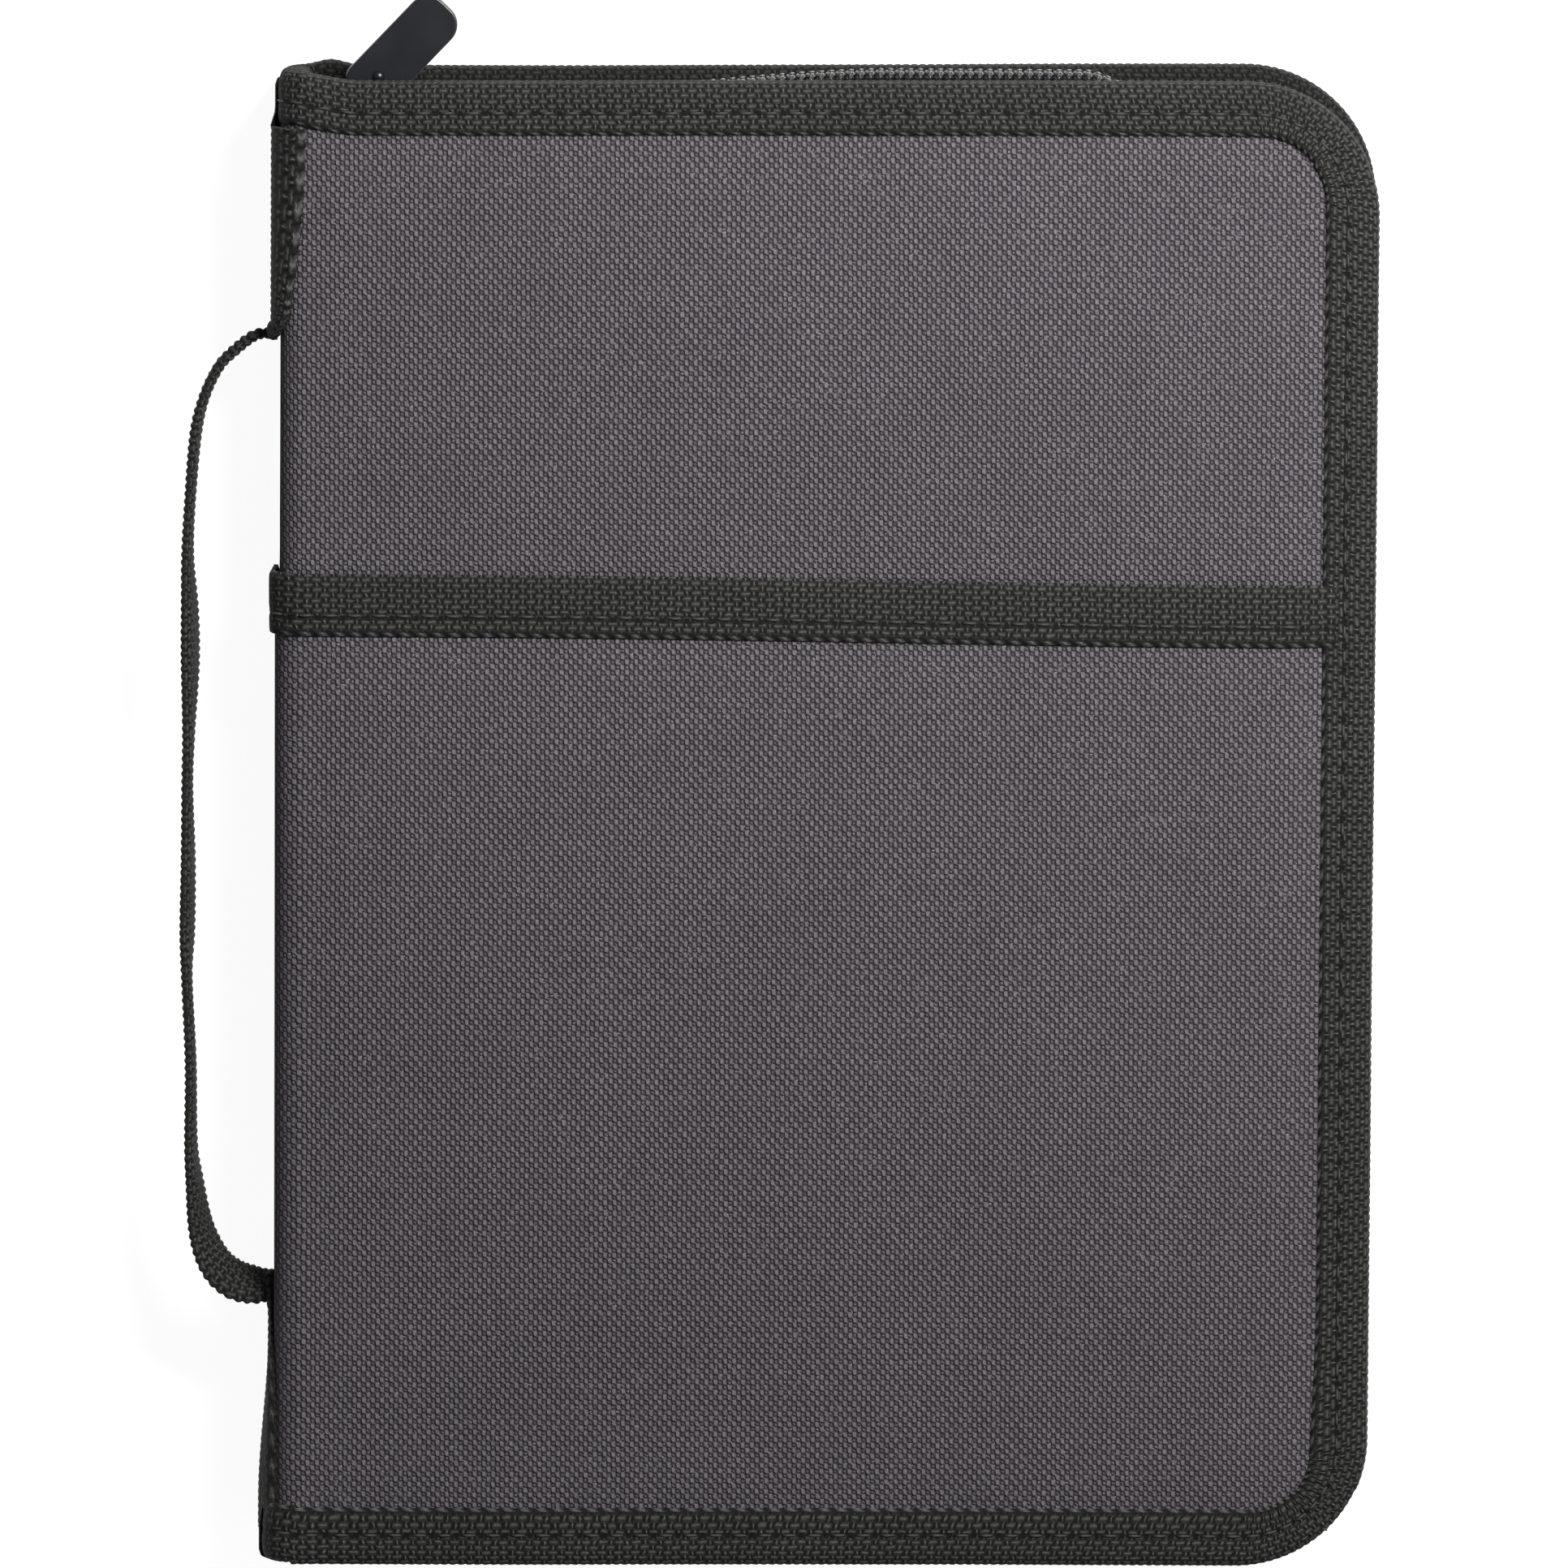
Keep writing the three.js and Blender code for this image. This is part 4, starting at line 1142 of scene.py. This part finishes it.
def on_slider(bm):
    """Moves what is drawn round the pull's axis to its place on the slider."""
    matrix = Matrix.Translation((SLIDER_X, PULL_Y, 0)) @ Matrix.Rotation(TAB_ANGLE, 4, "Z")
    bmesh.ops.transform(bm, matrix=matrix, verts=bm.verts)


def pull_tab_piece():
    """Pull tab: a thick satin blade with softened corners and a pin hole."""
    bm = bmesh.new()
    rim = bm.verts.layers.float.new("rim")
    tip_x, tip_y, root = TAB_REACH - TAB_TIP, TAB_HALF - TAB_TIP, TAB_HALF - TAB_ROOT
    outline = []
    for cx, cy, start, radius in ((tip_x, -tip_y, -90, TAB_TIP), (tip_x, tip_y, 0, TAB_TIP),
                                  (-root, root, 90, TAB_ROOT), (-root, -root, 180, TAB_ROOT)):
        for i in range(CORNER_STEPS + 1):
            angle = math.radians(start + 90 * i / CORNER_STEPS)
            x, y = cx + radius * math.cos(angle), cy + radius * math.sin(angle)
            outline.append(bm.verts.new((x, y, TAB_LOW)))
    edges = [bm.edges.new((a, b)) for a, b in zip(outline, outline[1:] + outline[:1])]
    hole = bmesh.ops.create_circle(bm, cap_ends=False, segments=24, radius=TAB_HOLE)["verts"]
    bmesh.ops.translate(bm, vec=(0, 0, TAB_LOW), verts=hole)
    edges += [edge for edge in bm.edges if edge.verts[0] in hole and edge.verts[1] in hole]
    bmesh.ops.triangle_fill(bm, use_beauty=True, use_dissolve=True, edges=edges)
    pushed(bm, bmesh.ops.extrude_face_region(bm, geom=bm.faces[:]), (0, 0, TAB_HIGH - TAB_LOW))
    bmesh.ops.recalc_face_normals(bm, faces=bm.faces)
    sharp = [edge for edge in bm.edges if len(edge.link_faces) == 2 and edge.calc_face_angle(0) > 0.9
             and edge.verts[0].co.xy.length > 1.2]
    soften(bm, 0.34, 4, sharp)
    # The rim layer holds a painted highlight along the edges of both faces, away from the pin hole
    for vert in bm.verts:
        depth = min(abs(vert.co.z - TAB_LOW), abs(vert.co.z - TAB_HIGH))
        painted_highlight = smooth_step(0.02, 0.16, depth) * smooth_step(0.5, 0.2, depth)
        vert[rim] = painted_highlight if vert.co.xy.length >= 1.6 else 0.0
    on_slider(bm)
    piece = finish_mesh(bm, "pull_tab_blade", finish_of("tab"))
    # Broad flats stay crisp beside their rounded edges
    piece.modifiers.new("even faces", "WEIGHTED_NORMAL").keep_sharp = True
    return piece


def pull_pin_piece():
    """Pin through the bail's eye and the tab's hole, with a low head behind and a flush one in front."""
    bm = bmesh.new()
    verts = [bm.verts.new((radius, 0, z)) for radius, z in PIN_SECTION]
    edges = [bm.edges.new(pair) for pair in zip(verts, verts[1:])]
    bmesh.ops.spin(bm, geom=verts + edges, cent=(0, 0, 0), axis=(0, 0, 1), angle=2 * math.pi, steps=20,
                   use_merge=True, use_duplicate=False)
    bmesh.ops.remove_doubles(bm, verts=bm.verts, dist=JOIN)
    on_slider(bm)
    return finish_mesh(bm, "pull_pin_shank", finish_of("tab"))


class JOURNAL_OT_zip(bpy.types.Operator):
    """Zip tapes, coils, stops, slider, pin and pull tab"""

    bl_idname = "journal.zip"
    bl_label = "Zip"

    def execute(self, context):
        for front, side in SIDES:
            body = side + "_cover"
            ride(zip_tape(side + "_zip_web", front), body, "woven_tape", side + "_zip_tape")
            ride(zip_coil(side + "_zip_spiral", front), body, "zip_coil", side + "_zip_coil")
            ride(coil_stitches(side + "_coil_thread", front), body, "woven_tape")
            for top, end in ENDS:
                ride(end_stop(f"{side}_{end}_clip", top, front), body, "steel", f"{side}_zip_{end}_stop")
        ride(slider_piece(), "zip_slider", "slider_metal", "zip_slider")
        ride(pull_tab_piece(), "zip_pull", "pull_enamel", "pull_tab")
        ride(pull_pin_piece(), "zip_pull", "slider_metal", "pull_pin")
        return {"FINISHED"}


# Handle

HANDLE_Z = 17.0
WEBBING = 1.25
WEB_RIB = 1.15
WEB_WIDTH = 9.0
WEB_STEP = 0.23
# Along the free handle: x, y, twist in degrees and half its width
HANDLE_ROUTE = [
    (-84.0, 73.5, 8, 1.9), (-86.6, 73.0, 9, 2.6), (-89.9, 70.4, 7, 3.5), (-91.9, 68.2, 3, 4.1),
    (-93.9, 64.0, 2, 4.5), (-95.2, 58.4, 3, 4.5), (-96.1, 47.8, 1, 4.5), (-96.4, 39.6, 3, 4.5),
    (-96.0, 31.2, 10, 4.5), (-95.9, 22.9, 11, 4.5), (-96.2, 12.2, 3, 4.5), (-96.4, 4.6, 1, 4.5),
    (-96.2, -6.6, 6, 4.5), (-96.3, -17.6, 7, 4.5), (-96.4, -25.0, 0, 4.5), (-95.8, -37.4, 1, 4.5),
    (-95.7, -49.8, 4, 4.5), (-95.1, -55.6, 10, 4.5), (-94.2, -61.8, 18, 4.5), (-93.0, -65.8, 24, 4.5),
    (-91.3, -68.7, 29, 4.4), (-89.0, -70.5, 33, 4.3), (-86.6, -71.2, 35, 4.0), (-85.0, -71.3, 35, 3.6),
    (-83.7, -71.3, 35, 3.1),
]
# Along the sewn webbing at the spine's top and bottom: y, place round the front fold and half its width
ANCHOR_ROUTES = {
    True: [(105.3, -4.6, 4.6), (98.6, -4.7, 4.5), (89.4, -4.9, 4.2), (81.3, -5.2, 3.6), (77.2, -5.5, 3.3),
           (74.6, -6.6, 3.0), (73.2, -8.0, 2.8)],
    False: [(-108.4, -8.6, 4.5), (-97.6, -8.6, 4.5), (-87.4, -8.9, 4.5), (-78.2, -9.9, 4.2),
            (-73.6, -10.6, 3.9), (-71.4, -11.0, 3.7)],
}
# The knots: y, place round the front fold, and the sizes of their two rolls
KNOTS = {True: (74.7, -6.4, ((2.0, 2.4, 3.4), (1.7, 1.7, 2.9))),
         False: (-71.4, -10.6, ((2.6, 4.9, 3.6), (2.2, 3.4, 3.0)))}


def webbing_point(half, thick, v):
    """Point (across, out) at share v round flat webbing's section, whose selvedges are rounded."""
    section = []
    for side in (1, -1):
        for i in range(7):
            a = half * side * (1 - 2 * i / 6)
            edge = 1 - smooth_step(half * 0.82, half, abs(a)) * 0.55
            section.append(Vector((a, side * thick / 2 * edge, 0)))
    section.append(section[0])
    spot = v * (len(section) - 1)
    i = min(int(spot + 1e-6), len(section) - 2)
    return section[i].lerp(section[i + 1], spot - i)[:2]


def webbing_strip(name, steps, length, place):
    def flat(u, v):
        """Both faces carry the same weave."""
        return (u * length, (v * 2 % 1.0) * WEB_WIDTH)

    return shaped_grid(name, steps, 14, place, flat, finish_of("webbing"))


def handle_strap_piece():
    route = smooth_route([(x, y, 0) for x, y, _, _ in HANDLE_ROUTE], 10)
    turns = smooth_route([(twist, half, 0) for _, _, twist, half in HANDLE_ROUTE], 10)
    lengths = run_lengths(route)
    steps = int(lengths[-1] / WEB_STEP)

    def station(u):
        """Place, direction, twist, half width and run at a share of the strap."""
        i, passed = span_at(lengths, u)
        turn = turns[i - 1].lerp(turns[i], passed)
        ahead = route[min(i + 1, len(route) - 1)] - route[max(i - 2, 0)]
        return route[i - 1].lerp(route[i], passed), ahead.normalized(), turn.x, turn.y, u * lengths[-1]

    stations = [station(i / steps) for i in range(steps + 1)]

    def place(u, v):
        spot, ahead, twist, half, run = stations[round(u * steps)]
        rib = ribs(run, WEB_RIB)
        a, b = webbing_point(half - 0.34 * (1 - rib), WEBBING * (0.84 + 0.42 * rib), v)
        turn = Matrix.Rotation(math.radians(twist), 3, ahead)
        across = turn @ Vector((0, 0, 1))
        normal = turn @ ahead.cross(Vector((0, 0, 1)))
        cup = 0.35 * (a / max(half, 1)) ** 2
        return Vector((spot.x, spot.y, HANDLE_Z)) + across * a + normal * (b + cup)

    return webbing_strip("handle_webbing", steps, lengths[-1], place)


def anchor_strip(name, top):
    """Webbing sewn along the spine beside its front fold, gathered where the handle leaves it."""
    route = smooth_route(ANCHOR_ROUTES[top], 8)
    spans = len(route) - 1

    def place(u, v):
        i = min(int(u * spans), spans - 1)
        y, w, half = route[i].lerp(route[i + 1], u * spans - i)
        rib = ribs(y, WEB_RIB)
        a, b = webbing_point(half - 0.24 * (1 - rib), WEBBING * (0.88 + 0.2 * rib), v)
        lift = 0.85 * smooth_step(4, 0, abs(y) - 72) * (1 - (a / half) ** 2) * 0.6
        away = 1.5 * smooth_step(-78, -104, y) * smooth_step(half, -0.3 * half, a)
        x, z = skin(w + a, 0.25 + WEBBING / 2 + b + away + lift)
        return (x, y, z)

    return webbing_strip(name, 4 * spans, 32.0, place)


def knot_piece(name, top):
    """The bunched tack where the sewn webbing turns into the free handle: two rolls over each other."""
    bm = bmesh.new()
    y, w, rolls = KNOTS[top]
    x, z = skin(w, 1.1)
    for shift, size, lean in zip((0.0, -0.8 if top else 0.8), rolls, (0.5, -0.4)):
        lump = bmesh.ops.create_icosphere(bm, subdivisions=3, radius=0.5)["verts"]
        bmesh.ops.scale(bm, vec=size, verts=lump)
        turned(bm, lump, Matrix.Rotation(lean, 3, "X"), (x, y + shift, z))
    layer = bm.loops.layers.uv.new(CLOTH_MAP)
    for face in bm.faces:
        for loop in face.loops:
            loop[layer].uv = (loop.vert.co.y, loop.vert.co.z)
    return finish_mesh(bm, name, finish_of("webbing"))


class JOURNAL_OT_handle(bpy.types.Operator):
    """Free webbing handle and the two lengths of webbing that are sewn along the spine"""

    bl_idname = "journal.handle"
    bl_label = "Handle"

    def execute(self, context):
        ride(handle_strap_piece(), "handle", "woven_tape", "handle_strap")
        for top, end in ((True, "upper"), (False, "lower")):
            bend(anchor_strip(end + "_anchor_webbing", top), True, "woven_tape", end + "_handle_anchor")
            ride(knot_piece(end + "_handle_knot", top), "spine", "woven_tape")
        return {"FINISHED"}


# Inside

INNER_X = LEFT + 4.2
INNER_Z = THICK - 4.2
LINING_INSET, SLEEVE_INSET, FOAM_INSET = 5.8, 8.0, 8.6
FOAM_CORNER = 9.4
REFILL_LEFT, REFILL_RIGHT, REFILL_HALF = -76.8, 63.2, 103.3
LEAF_LEFT, LEAF_RIGHT, LEAF_HALF = -75.8, 60.2, 101.3
LEAF_ROLL, LEAF_STEPS = 1.6, 22
RULE_PITCH, RULED_LEFT, RULED_RIGHT, RULED_HALF = 7.1, -68.0, 52.0, 84.0
# Heights: the back cover of the refill, and the two blocks of leaves
REFILL_COVER, RESTING_LEAVES, TURNING_LEAVES = (4.5, 6.0), (7.0, 12.85), (13.15, 19.0)
REFILL_SPINE = (-77.9, -77.15)
SLEEVE_MOUTH = REFILL_RIGHT - 86.0
SLEEVE_HALF = HALF - 7.0
SLEEVE_LIFT = 2.45
HEM_HALF = 96
PEN_X, PEN_Z, PEN_BORE, PEN_LENGTH = 69.2, 15.6, 4.4, 30.0


def mirrored(x, y, z, front):
    """A point drawn for the front cover, or its like on the back cover."""
    return (x, y, z if front else THICK - z)


def rounded(x, y, inset, radius):
    """Moves a point of a square-cornered sheet so that its two fore corners are round."""
    cx, cy = RIGHT - inset - radius, HALF - inset - radius
    dx, dy = x - cx, abs(y) - cy
    if dx <= 0 or dy <= 0:
        return x, y
    a, b = dx / radius, dy / radius
    dx, dy = radius * a * math.sqrt(1 - b * b / 2), radius * b * math.sqrt(1 - a * a / 2)
    return cx + dx, math.copysign(cy + dy, y)


def lining_piece(side, front):
    """Lining of a cover, which turns the inner corner to the middle of the spine."""
    run = RIGHT - LINING_INSET - INNER_X
    drop = INNER_Z - MID

    def flat(u, v):
        return two_pace(u, 0.15, -drop, 0, run), (2 * v - 1) * HALF

    def place(u, v):
        t, _ = flat(u, v)
        y = (2 * v - 1) * (HALF - LINING_INSET)
        slack = 0.10 * (1 + ripple(t, y, 5.0))
        if t < 0:
            return mirrored(INNER_X + slack, y, INNER_Z + t, front)
        x, y = rounded(INNER_X + t, y, LINING_INSET, CORNER - LINING_INSET)
        eased = 0.1 * max(2 - t, 0)
        return mirrored(x + eased, y, INNER_Z - slack - eased, front)

    made = shaped_grid(side + "_lining_sheet", 90, 90, place, flat, finish_of("lining"), -0.3)
    return cloth(made, drop + run, 2 * (HALF - LINING_INSET), side + "_board")


def sleeve_piece(side, front):
    """Sleeve that holds the refill's cover: cloth over the cover, down to the lining round three sides."""
    run = RIGHT - SLEEVE_INSET - SLEEVE_MOUTH

    def flat(u, v):
        return SLEEVE_MOUTH + u * run, (2 * v - 1) * HALF

    def place(u, v):
        x, y = SLEEVE_MOUTH + u * run, (2 * v - 1) * SLEEVE_HALF
        beyond = max(x - REFILL_RIGHT, abs(y) - REFILL_HALF)
        lift = SLEEVE_LIFT - 1.75 * smooth_step(0.4, 3.2, beyond) + 0.12 * ripple(x, y, 6.1)
        lift += 0.35 * smooth_step(3.2, 0.0, x - SLEEVE_MOUTH) * (1 - (y / HALF) ** 2)
        return mirrored(*rounded(x, y, SLEEVE_INSET, CORNER - SLEEVE_INSET), INNER_Z - lift, front)

    made = shaped_grid(side + "_sleeve_cloth", 80, 110, place, flat, finish_of("sleeve"), 0.3)
    return cloth(made, run, 2 * SLEEVE_HALF, side + "_lining_sheet")


def sleeve_hem(name, front, look):
    """Stitches along the hem of the sleeve's mouth."""
    def hem_point(y):
        lift = SLEEVE_LIFT + 0.12 * ripple(SLEEVE_MOUTH, y, 6.1) + 0.3
        return Vector(mirrored(SLEEVE_MOUTH + 3.4, y, INNER_Z - lift, front))

    starts = seam_spots(hem_point, -HEM_HALF, HEM_HALF, look.stitch_pitch)
    return stitches(name, [(here, here + Vector((0, 1, 0))) for here, _ in starts], look)


def pen_loop_piece():
    """Elastic loop for a pen, its two ends sewn flat under the sleeve's edge."""
    reach = PEN_BORE + 0.4
    points = [(PEN_X + 5.6, PEN_Z + 5.3), (PEN_X + 2.0, PEN_Z + 5.15)]
    for i in range(25):
        angle = math.radians(65 - 310 * i / 24)
        points.append((PEN_X + reach * math.cos(angle), PEN_Z + reach * math.sin(angle)))
    points += [(PEN_X - 2.0, PEN_Z + 5.15), (PEN_X - 5.6, PEN_Z + 5.3)]
    total, at = polyline(points, closed=False)

    def place(u, v):
        x, z = at(u)
        y = (v - 0.5) * PEN_LENGTH
        pinch = 1 - 0.05 * math.cos(math.pi * (2 * v - 1))
        return (PEN_X + (x - PEN_X) * (pinch + 0.06 * ribs(y, 1.4) / PEN_BORE), y, z)

    return shaped_grid("pen_loop_elastic", 64, 60, place, (total, PEN_LENGTH), finish_of("elastic"), 0.6)


def padding_piece(side):
    """Foam sheet under the canvas, a little fuller in its middle and pinched at its edges."""
    def place(u, v):
        y = (2 * v - 1) * (HALF - FOAM_INSET)
        depth = 0.8 + 0.35 * smooth_step(0.05, 0.0, min(u, 1 - u, v, 1 - v))
        if side == "spine":
            return (LEFT + depth, y, FOLD + 0.6 + u * (THICK - 2 * FOLD - 1.2))
        x = FOLD_END + 0.6 + u * (RIGHT - FOAM_INSET - FOLD_END - 0.6)
        x, y = rounded(x, y, FOAM_INSET, FOAM_CORNER)
        return (x, y, THICK - depth if side == "front" else depth)

    steps = 12 if side == "spine" else 48
    made = shaped_grid(side + "_foam", steps, 60, place, (150, 200), finish_of("foam"), 0.9)
    return made


def refill_cover(name, front):
    """Hard cover of the refill: book cloth over board, with rounded fore corners and softened edges."""
    bm = bmesh.new()
    low, high = REFILL_COVER
    if front:
        low, high = THICK - high, THICK - low
    block(bm, (REFILL_LEFT, -REFILL_HALF, low), (REFILL_RIGHT, REFILL_HALF, high))
    corners = [edge for edge in bm.edges if all(vert.co.x > 0 for vert in edge.verts)
               and (edge.verts[0].co - edge.verts[1].co).xy.length < 1e-3]
    soften(bm, 3.5, 8, corners)
    soften(bm, 0.3, 3, [edge for edge in bm.edges if edge.calc_face_angle(0) > 0.9])
    return finish_mesh(bm, name, finish_of("cover"))


def refill_spine_piece():
    bm = bmesh.new()
    left, right = REFILL_SPINE
    block(bm, (left, -REFILL_HALF, 4.6), (right, REFILL_HALF, THICK - 4.6))
    soften(bm, 0.3, 3)
    return finish_mesh(bm, "refill_spine_cloth", finish_of("cover"))


def leaf_block(name, low, high):
    """Half of the refill's leaves: a block with a rolled spine edge and leaves a hair out of line."""
    section = []
    middle, reach = (low + high) / 2, (high - low) / 2
    for i in range(9):
        angle = math.radians(90 + 180 * i / 8)
        x = LEAF_LEFT + LEAF_ROLL + LEAF_ROLL * math.cos(angle)
        section.append((x, middle + reach * math.sin(angle)))
    for i in range(LEAF_STEPS + 1):
        shift = 0.12 * math.sin(i * 2.4 + low) - 0.10 * abs(2 * i / LEAF_STEPS - 1)
        section.append((LEAF_RIGHT + shift, low + (high - low) * i / LEAF_STEPS))
    total, at = polyline(section)

    def place(u, v):
        x, z = at(v)
        return (x, (2 * u - 1) * LEAF_HALF, z)

    return shaped_grid(name, 8, 240, place, (2 * LEAF_HALF, total), finish_of("paper"))


class JOURNAL_OT_inside(bpy.types.Operator):
    """Lining, sleeves, pen loop, padding, boards and the paper refill"""

    bl_idname = "journal.inside"
    bl_label = "Inside"

    def execute(self, context):
        look = context.scene.journal_look
        bend(lining_piece("front", True), True, "lining_cloth", "front_lining", "spine_lining")
        bend(lining_piece("back", False), False, "lining_cloth", "back_lining")
        for front, side in SIDES:
            body = side + "_cover"
            ride(sleeve_piece(side, front), body, "lining_cloth", side + "_sleeve")
            ride(sleeve_hem(side + "_sleeve_stitches", front, look), body, "lining_cloth")
            ride(refill_cover(side + "_refill_board", front), body, "cover_cloth", f"refill_{side}_cover")
            ride(padding_piece(side), body, "foam", side + "_padding")
        ride(padding_piece("spine"), "spine", "foam", "spine_padding")
        ride(refill_spine_piece(), "spine", "cover_cloth", "refill_spine")
        ride(leaf_block("resting_leaf_block", *RESTING_LEAVES), "back_cover", "paper", "resting_leaves")
        ride(leaf_block("turning_leaf_block", *TURNING_LEAVES), "leaves", "paper", "turning_leaves")
        ride(pen_loop_piece(), "front_cover", "lining_cloth", "pen_loop")
        for side in ("back", "spine", "front"):
            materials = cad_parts[side + "_board"].data.materials
            materials.clear()
            materials.append(finish_of("board"))
        return {"FINISHED"}


# Stage

VIEW_TILT = math.radians(7.5)
VIEW_ROLL = math.radians(0.35)
VIEW_TARGET = Vector((-6.4, 6.7, THICK)) * MM
VIEW_DISTANCE = 3.0
VIEW_WIDTH = 0.2361
SENSOR = 36.0
FLOOR_Z, FLOOR_HALF = -0.9, 3000
WORLD_LIGHT = 0.15


def floor_material():
    """White paper floor: it keeps the object's shadow, and shows white beyond it."""
    g = Graph("white_floor")
    g.finish(g.mix(g.noise(g.place(), 0.02, 2.0), (0.24, 0.24, 0.24), (0.26, 0.26, 0.26)), 0.9)
    path = g.tree.nodes.new("ShaderNodeLightPath")
    rays = ("Is Camera Ray", "Is Glossy Ray", "Is Transmission Ray")
    camera, glossy, through = (Value(g, path.outputs[ray]) for ray in rays)
    seen = camera.at_least(glossy).at_least(through)
    glow = g.node("ShaderNodeEmission", None, {"Color": (1, 1, 1), "Strength": 0.93}, "Emission")
    plain_floor = Value(g, g.shader.outputs["BSDF"])
    both = g.node("ShaderNodeAddShader", None, [plain_floor, glow], 0)
    shown = g.node("ShaderNodeMixShader", None, {0: seen, 1: plain_floor, 2: both}, 0)
    g.plug(g.tree.nodes["Material Output"].inputs["Surface"], shown)
    return g.material


def area_lamp(name, place, target, size, power, spread=180):
    lamp = bpy.data.lights.new(name, "AREA")
    lamp.shape = "RECTANGLE"
    lamp.size, lamp.size_y = size
    lamp.energy = power
    lamp.spread = math.radians(spread)
    holder = bpy.data.objects.new(name, lamp)
    holder.location = place
    holder.rotation_euler = (Vector(target) - Vector(place)).to_track_quat("-Z", "Y").to_euler()
    bpy.context.scene.collection.objects.link(holder)


def place_camera(scene):
    """A long lens over the case, tilted and rolled as the photograph's."""
    camera = bpy.data.cameras.new("camera")
    camera.sensor_width = SENSOR
    camera.lens = camera.sensor_width * VIEW_DISTANCE / VIEW_WIDTH
    camera.clip_end = 10.0
    holder = bpy.data.objects.new("camera", camera)
    back = Vector((0, math.sin(VIEW_TILT), math.cos(VIEW_TILT)))
    up = Vector((0, math.cos(VIEW_TILT), -math.sin(VIEW_TILT)))
    turn = Matrix((Vector((1, 0, 0)), up, back)).transposed() @ Matrix.Rotation(VIEW_ROLL, 3, "Z")
    holder.matrix_world = Matrix.Translation(VIEW_TARGET + back * VIEW_DISTANCE) @ turn.to_4x4()
    scene.collection.objects.link(holder)
    scene.camera = holder


class JOURNAL_OT_stage(bpy.types.Operator):
    """White floor, soft lamps and the camera"""

    bl_idname = "journal.stage"
    bl_label = "Stage"

    def execute(self, context):
        scene = context.scene
        bm = bmesh.new()
        bmesh.ops.create_grid(bm, x_segments=4, y_segments=4, size=FLOOR_HALF)
        bmesh.ops.translate(bm, vec=(0, 0, FLOOR_Z), verts=bm.verts)
        finish_mesh(bm, "floor", floor_material(), recalc=False)
        world = bpy.data.worlds.new("studio")
        world.use_nodes = True
        background = world.node_tree.nodes["Background"].inputs
        background["Color"].default_value = (1, 1, 1, 1)
        background["Strength"].default_value = WORLD_LIGHT
        scene.world = world
        # Each lamp's place, target and size are in metres, its power in watts and its spread in degrees
        area_lamp("key", (0.24, 0.38, 0.56), (0.04, 0.07, 0.02), (0.26, 0.20), 2.15, 95)
        area_lamp("fill", (0.75, -0.2, 0.8), (0, 0, 0.02), (0.6, 0.8), 1.6)
        place_camera(scene)
        scene.view_settings.view_transform = "Standard"
        return {"FINISHED"}


OPERATORS = (JOURNAL_OT_stage, JOURNAL_OT_canvas, JOURNAL_OT_pocket, JOURNAL_OT_edge_tapes, JOURNAL_OT_zip,
             JOURNAL_OT_handle, JOURNAL_OT_inside)


class JOURNAL_PT_parts(bpy.types.Panel):
    """Buttons for each group of pieces, and the look's settings"""

    bl_idname = "JOURNAL_PT_parts"
    bl_label = "Refillable journal"
    bl_space_type = "VIEW_3D"
    bl_region_type = "UI"
    bl_category = "Journal"

    def draw(self, context):
        for operator in OPERATORS:
            self.layout.operator(operator.bl_idname)
        look = context.scene.journal_look
        for key in JournalLook.__annotations__:
            self.layout.prop(look, key)


CLASSES = (JournalLook,) + OPERATORS + (JOURNAL_PT_parts,)


def register():
    for cls in CLASSES:
        bpy.utils.register_class(cls)
    bpy.types.Scene.journal_look = PointerProperty(type=JournalLook)


def unregister():
    del bpy.types.Scene.journal_look
    for cls in reversed(CLASSES):
        bpy.utils.unregister_class(cls)


def main():
    register()
    bpy.ops.journal.stage()
    bpy.ops.journal.canvas()
    bpy.ops.journal.pocket()
    bpy.ops.journal.edge_tapes()
    bpy.ops.journal.zip()
    bpy.ops.journal.handle()
    bpy.ops.journal.inside()


if __name__ == "__main__":
    main()
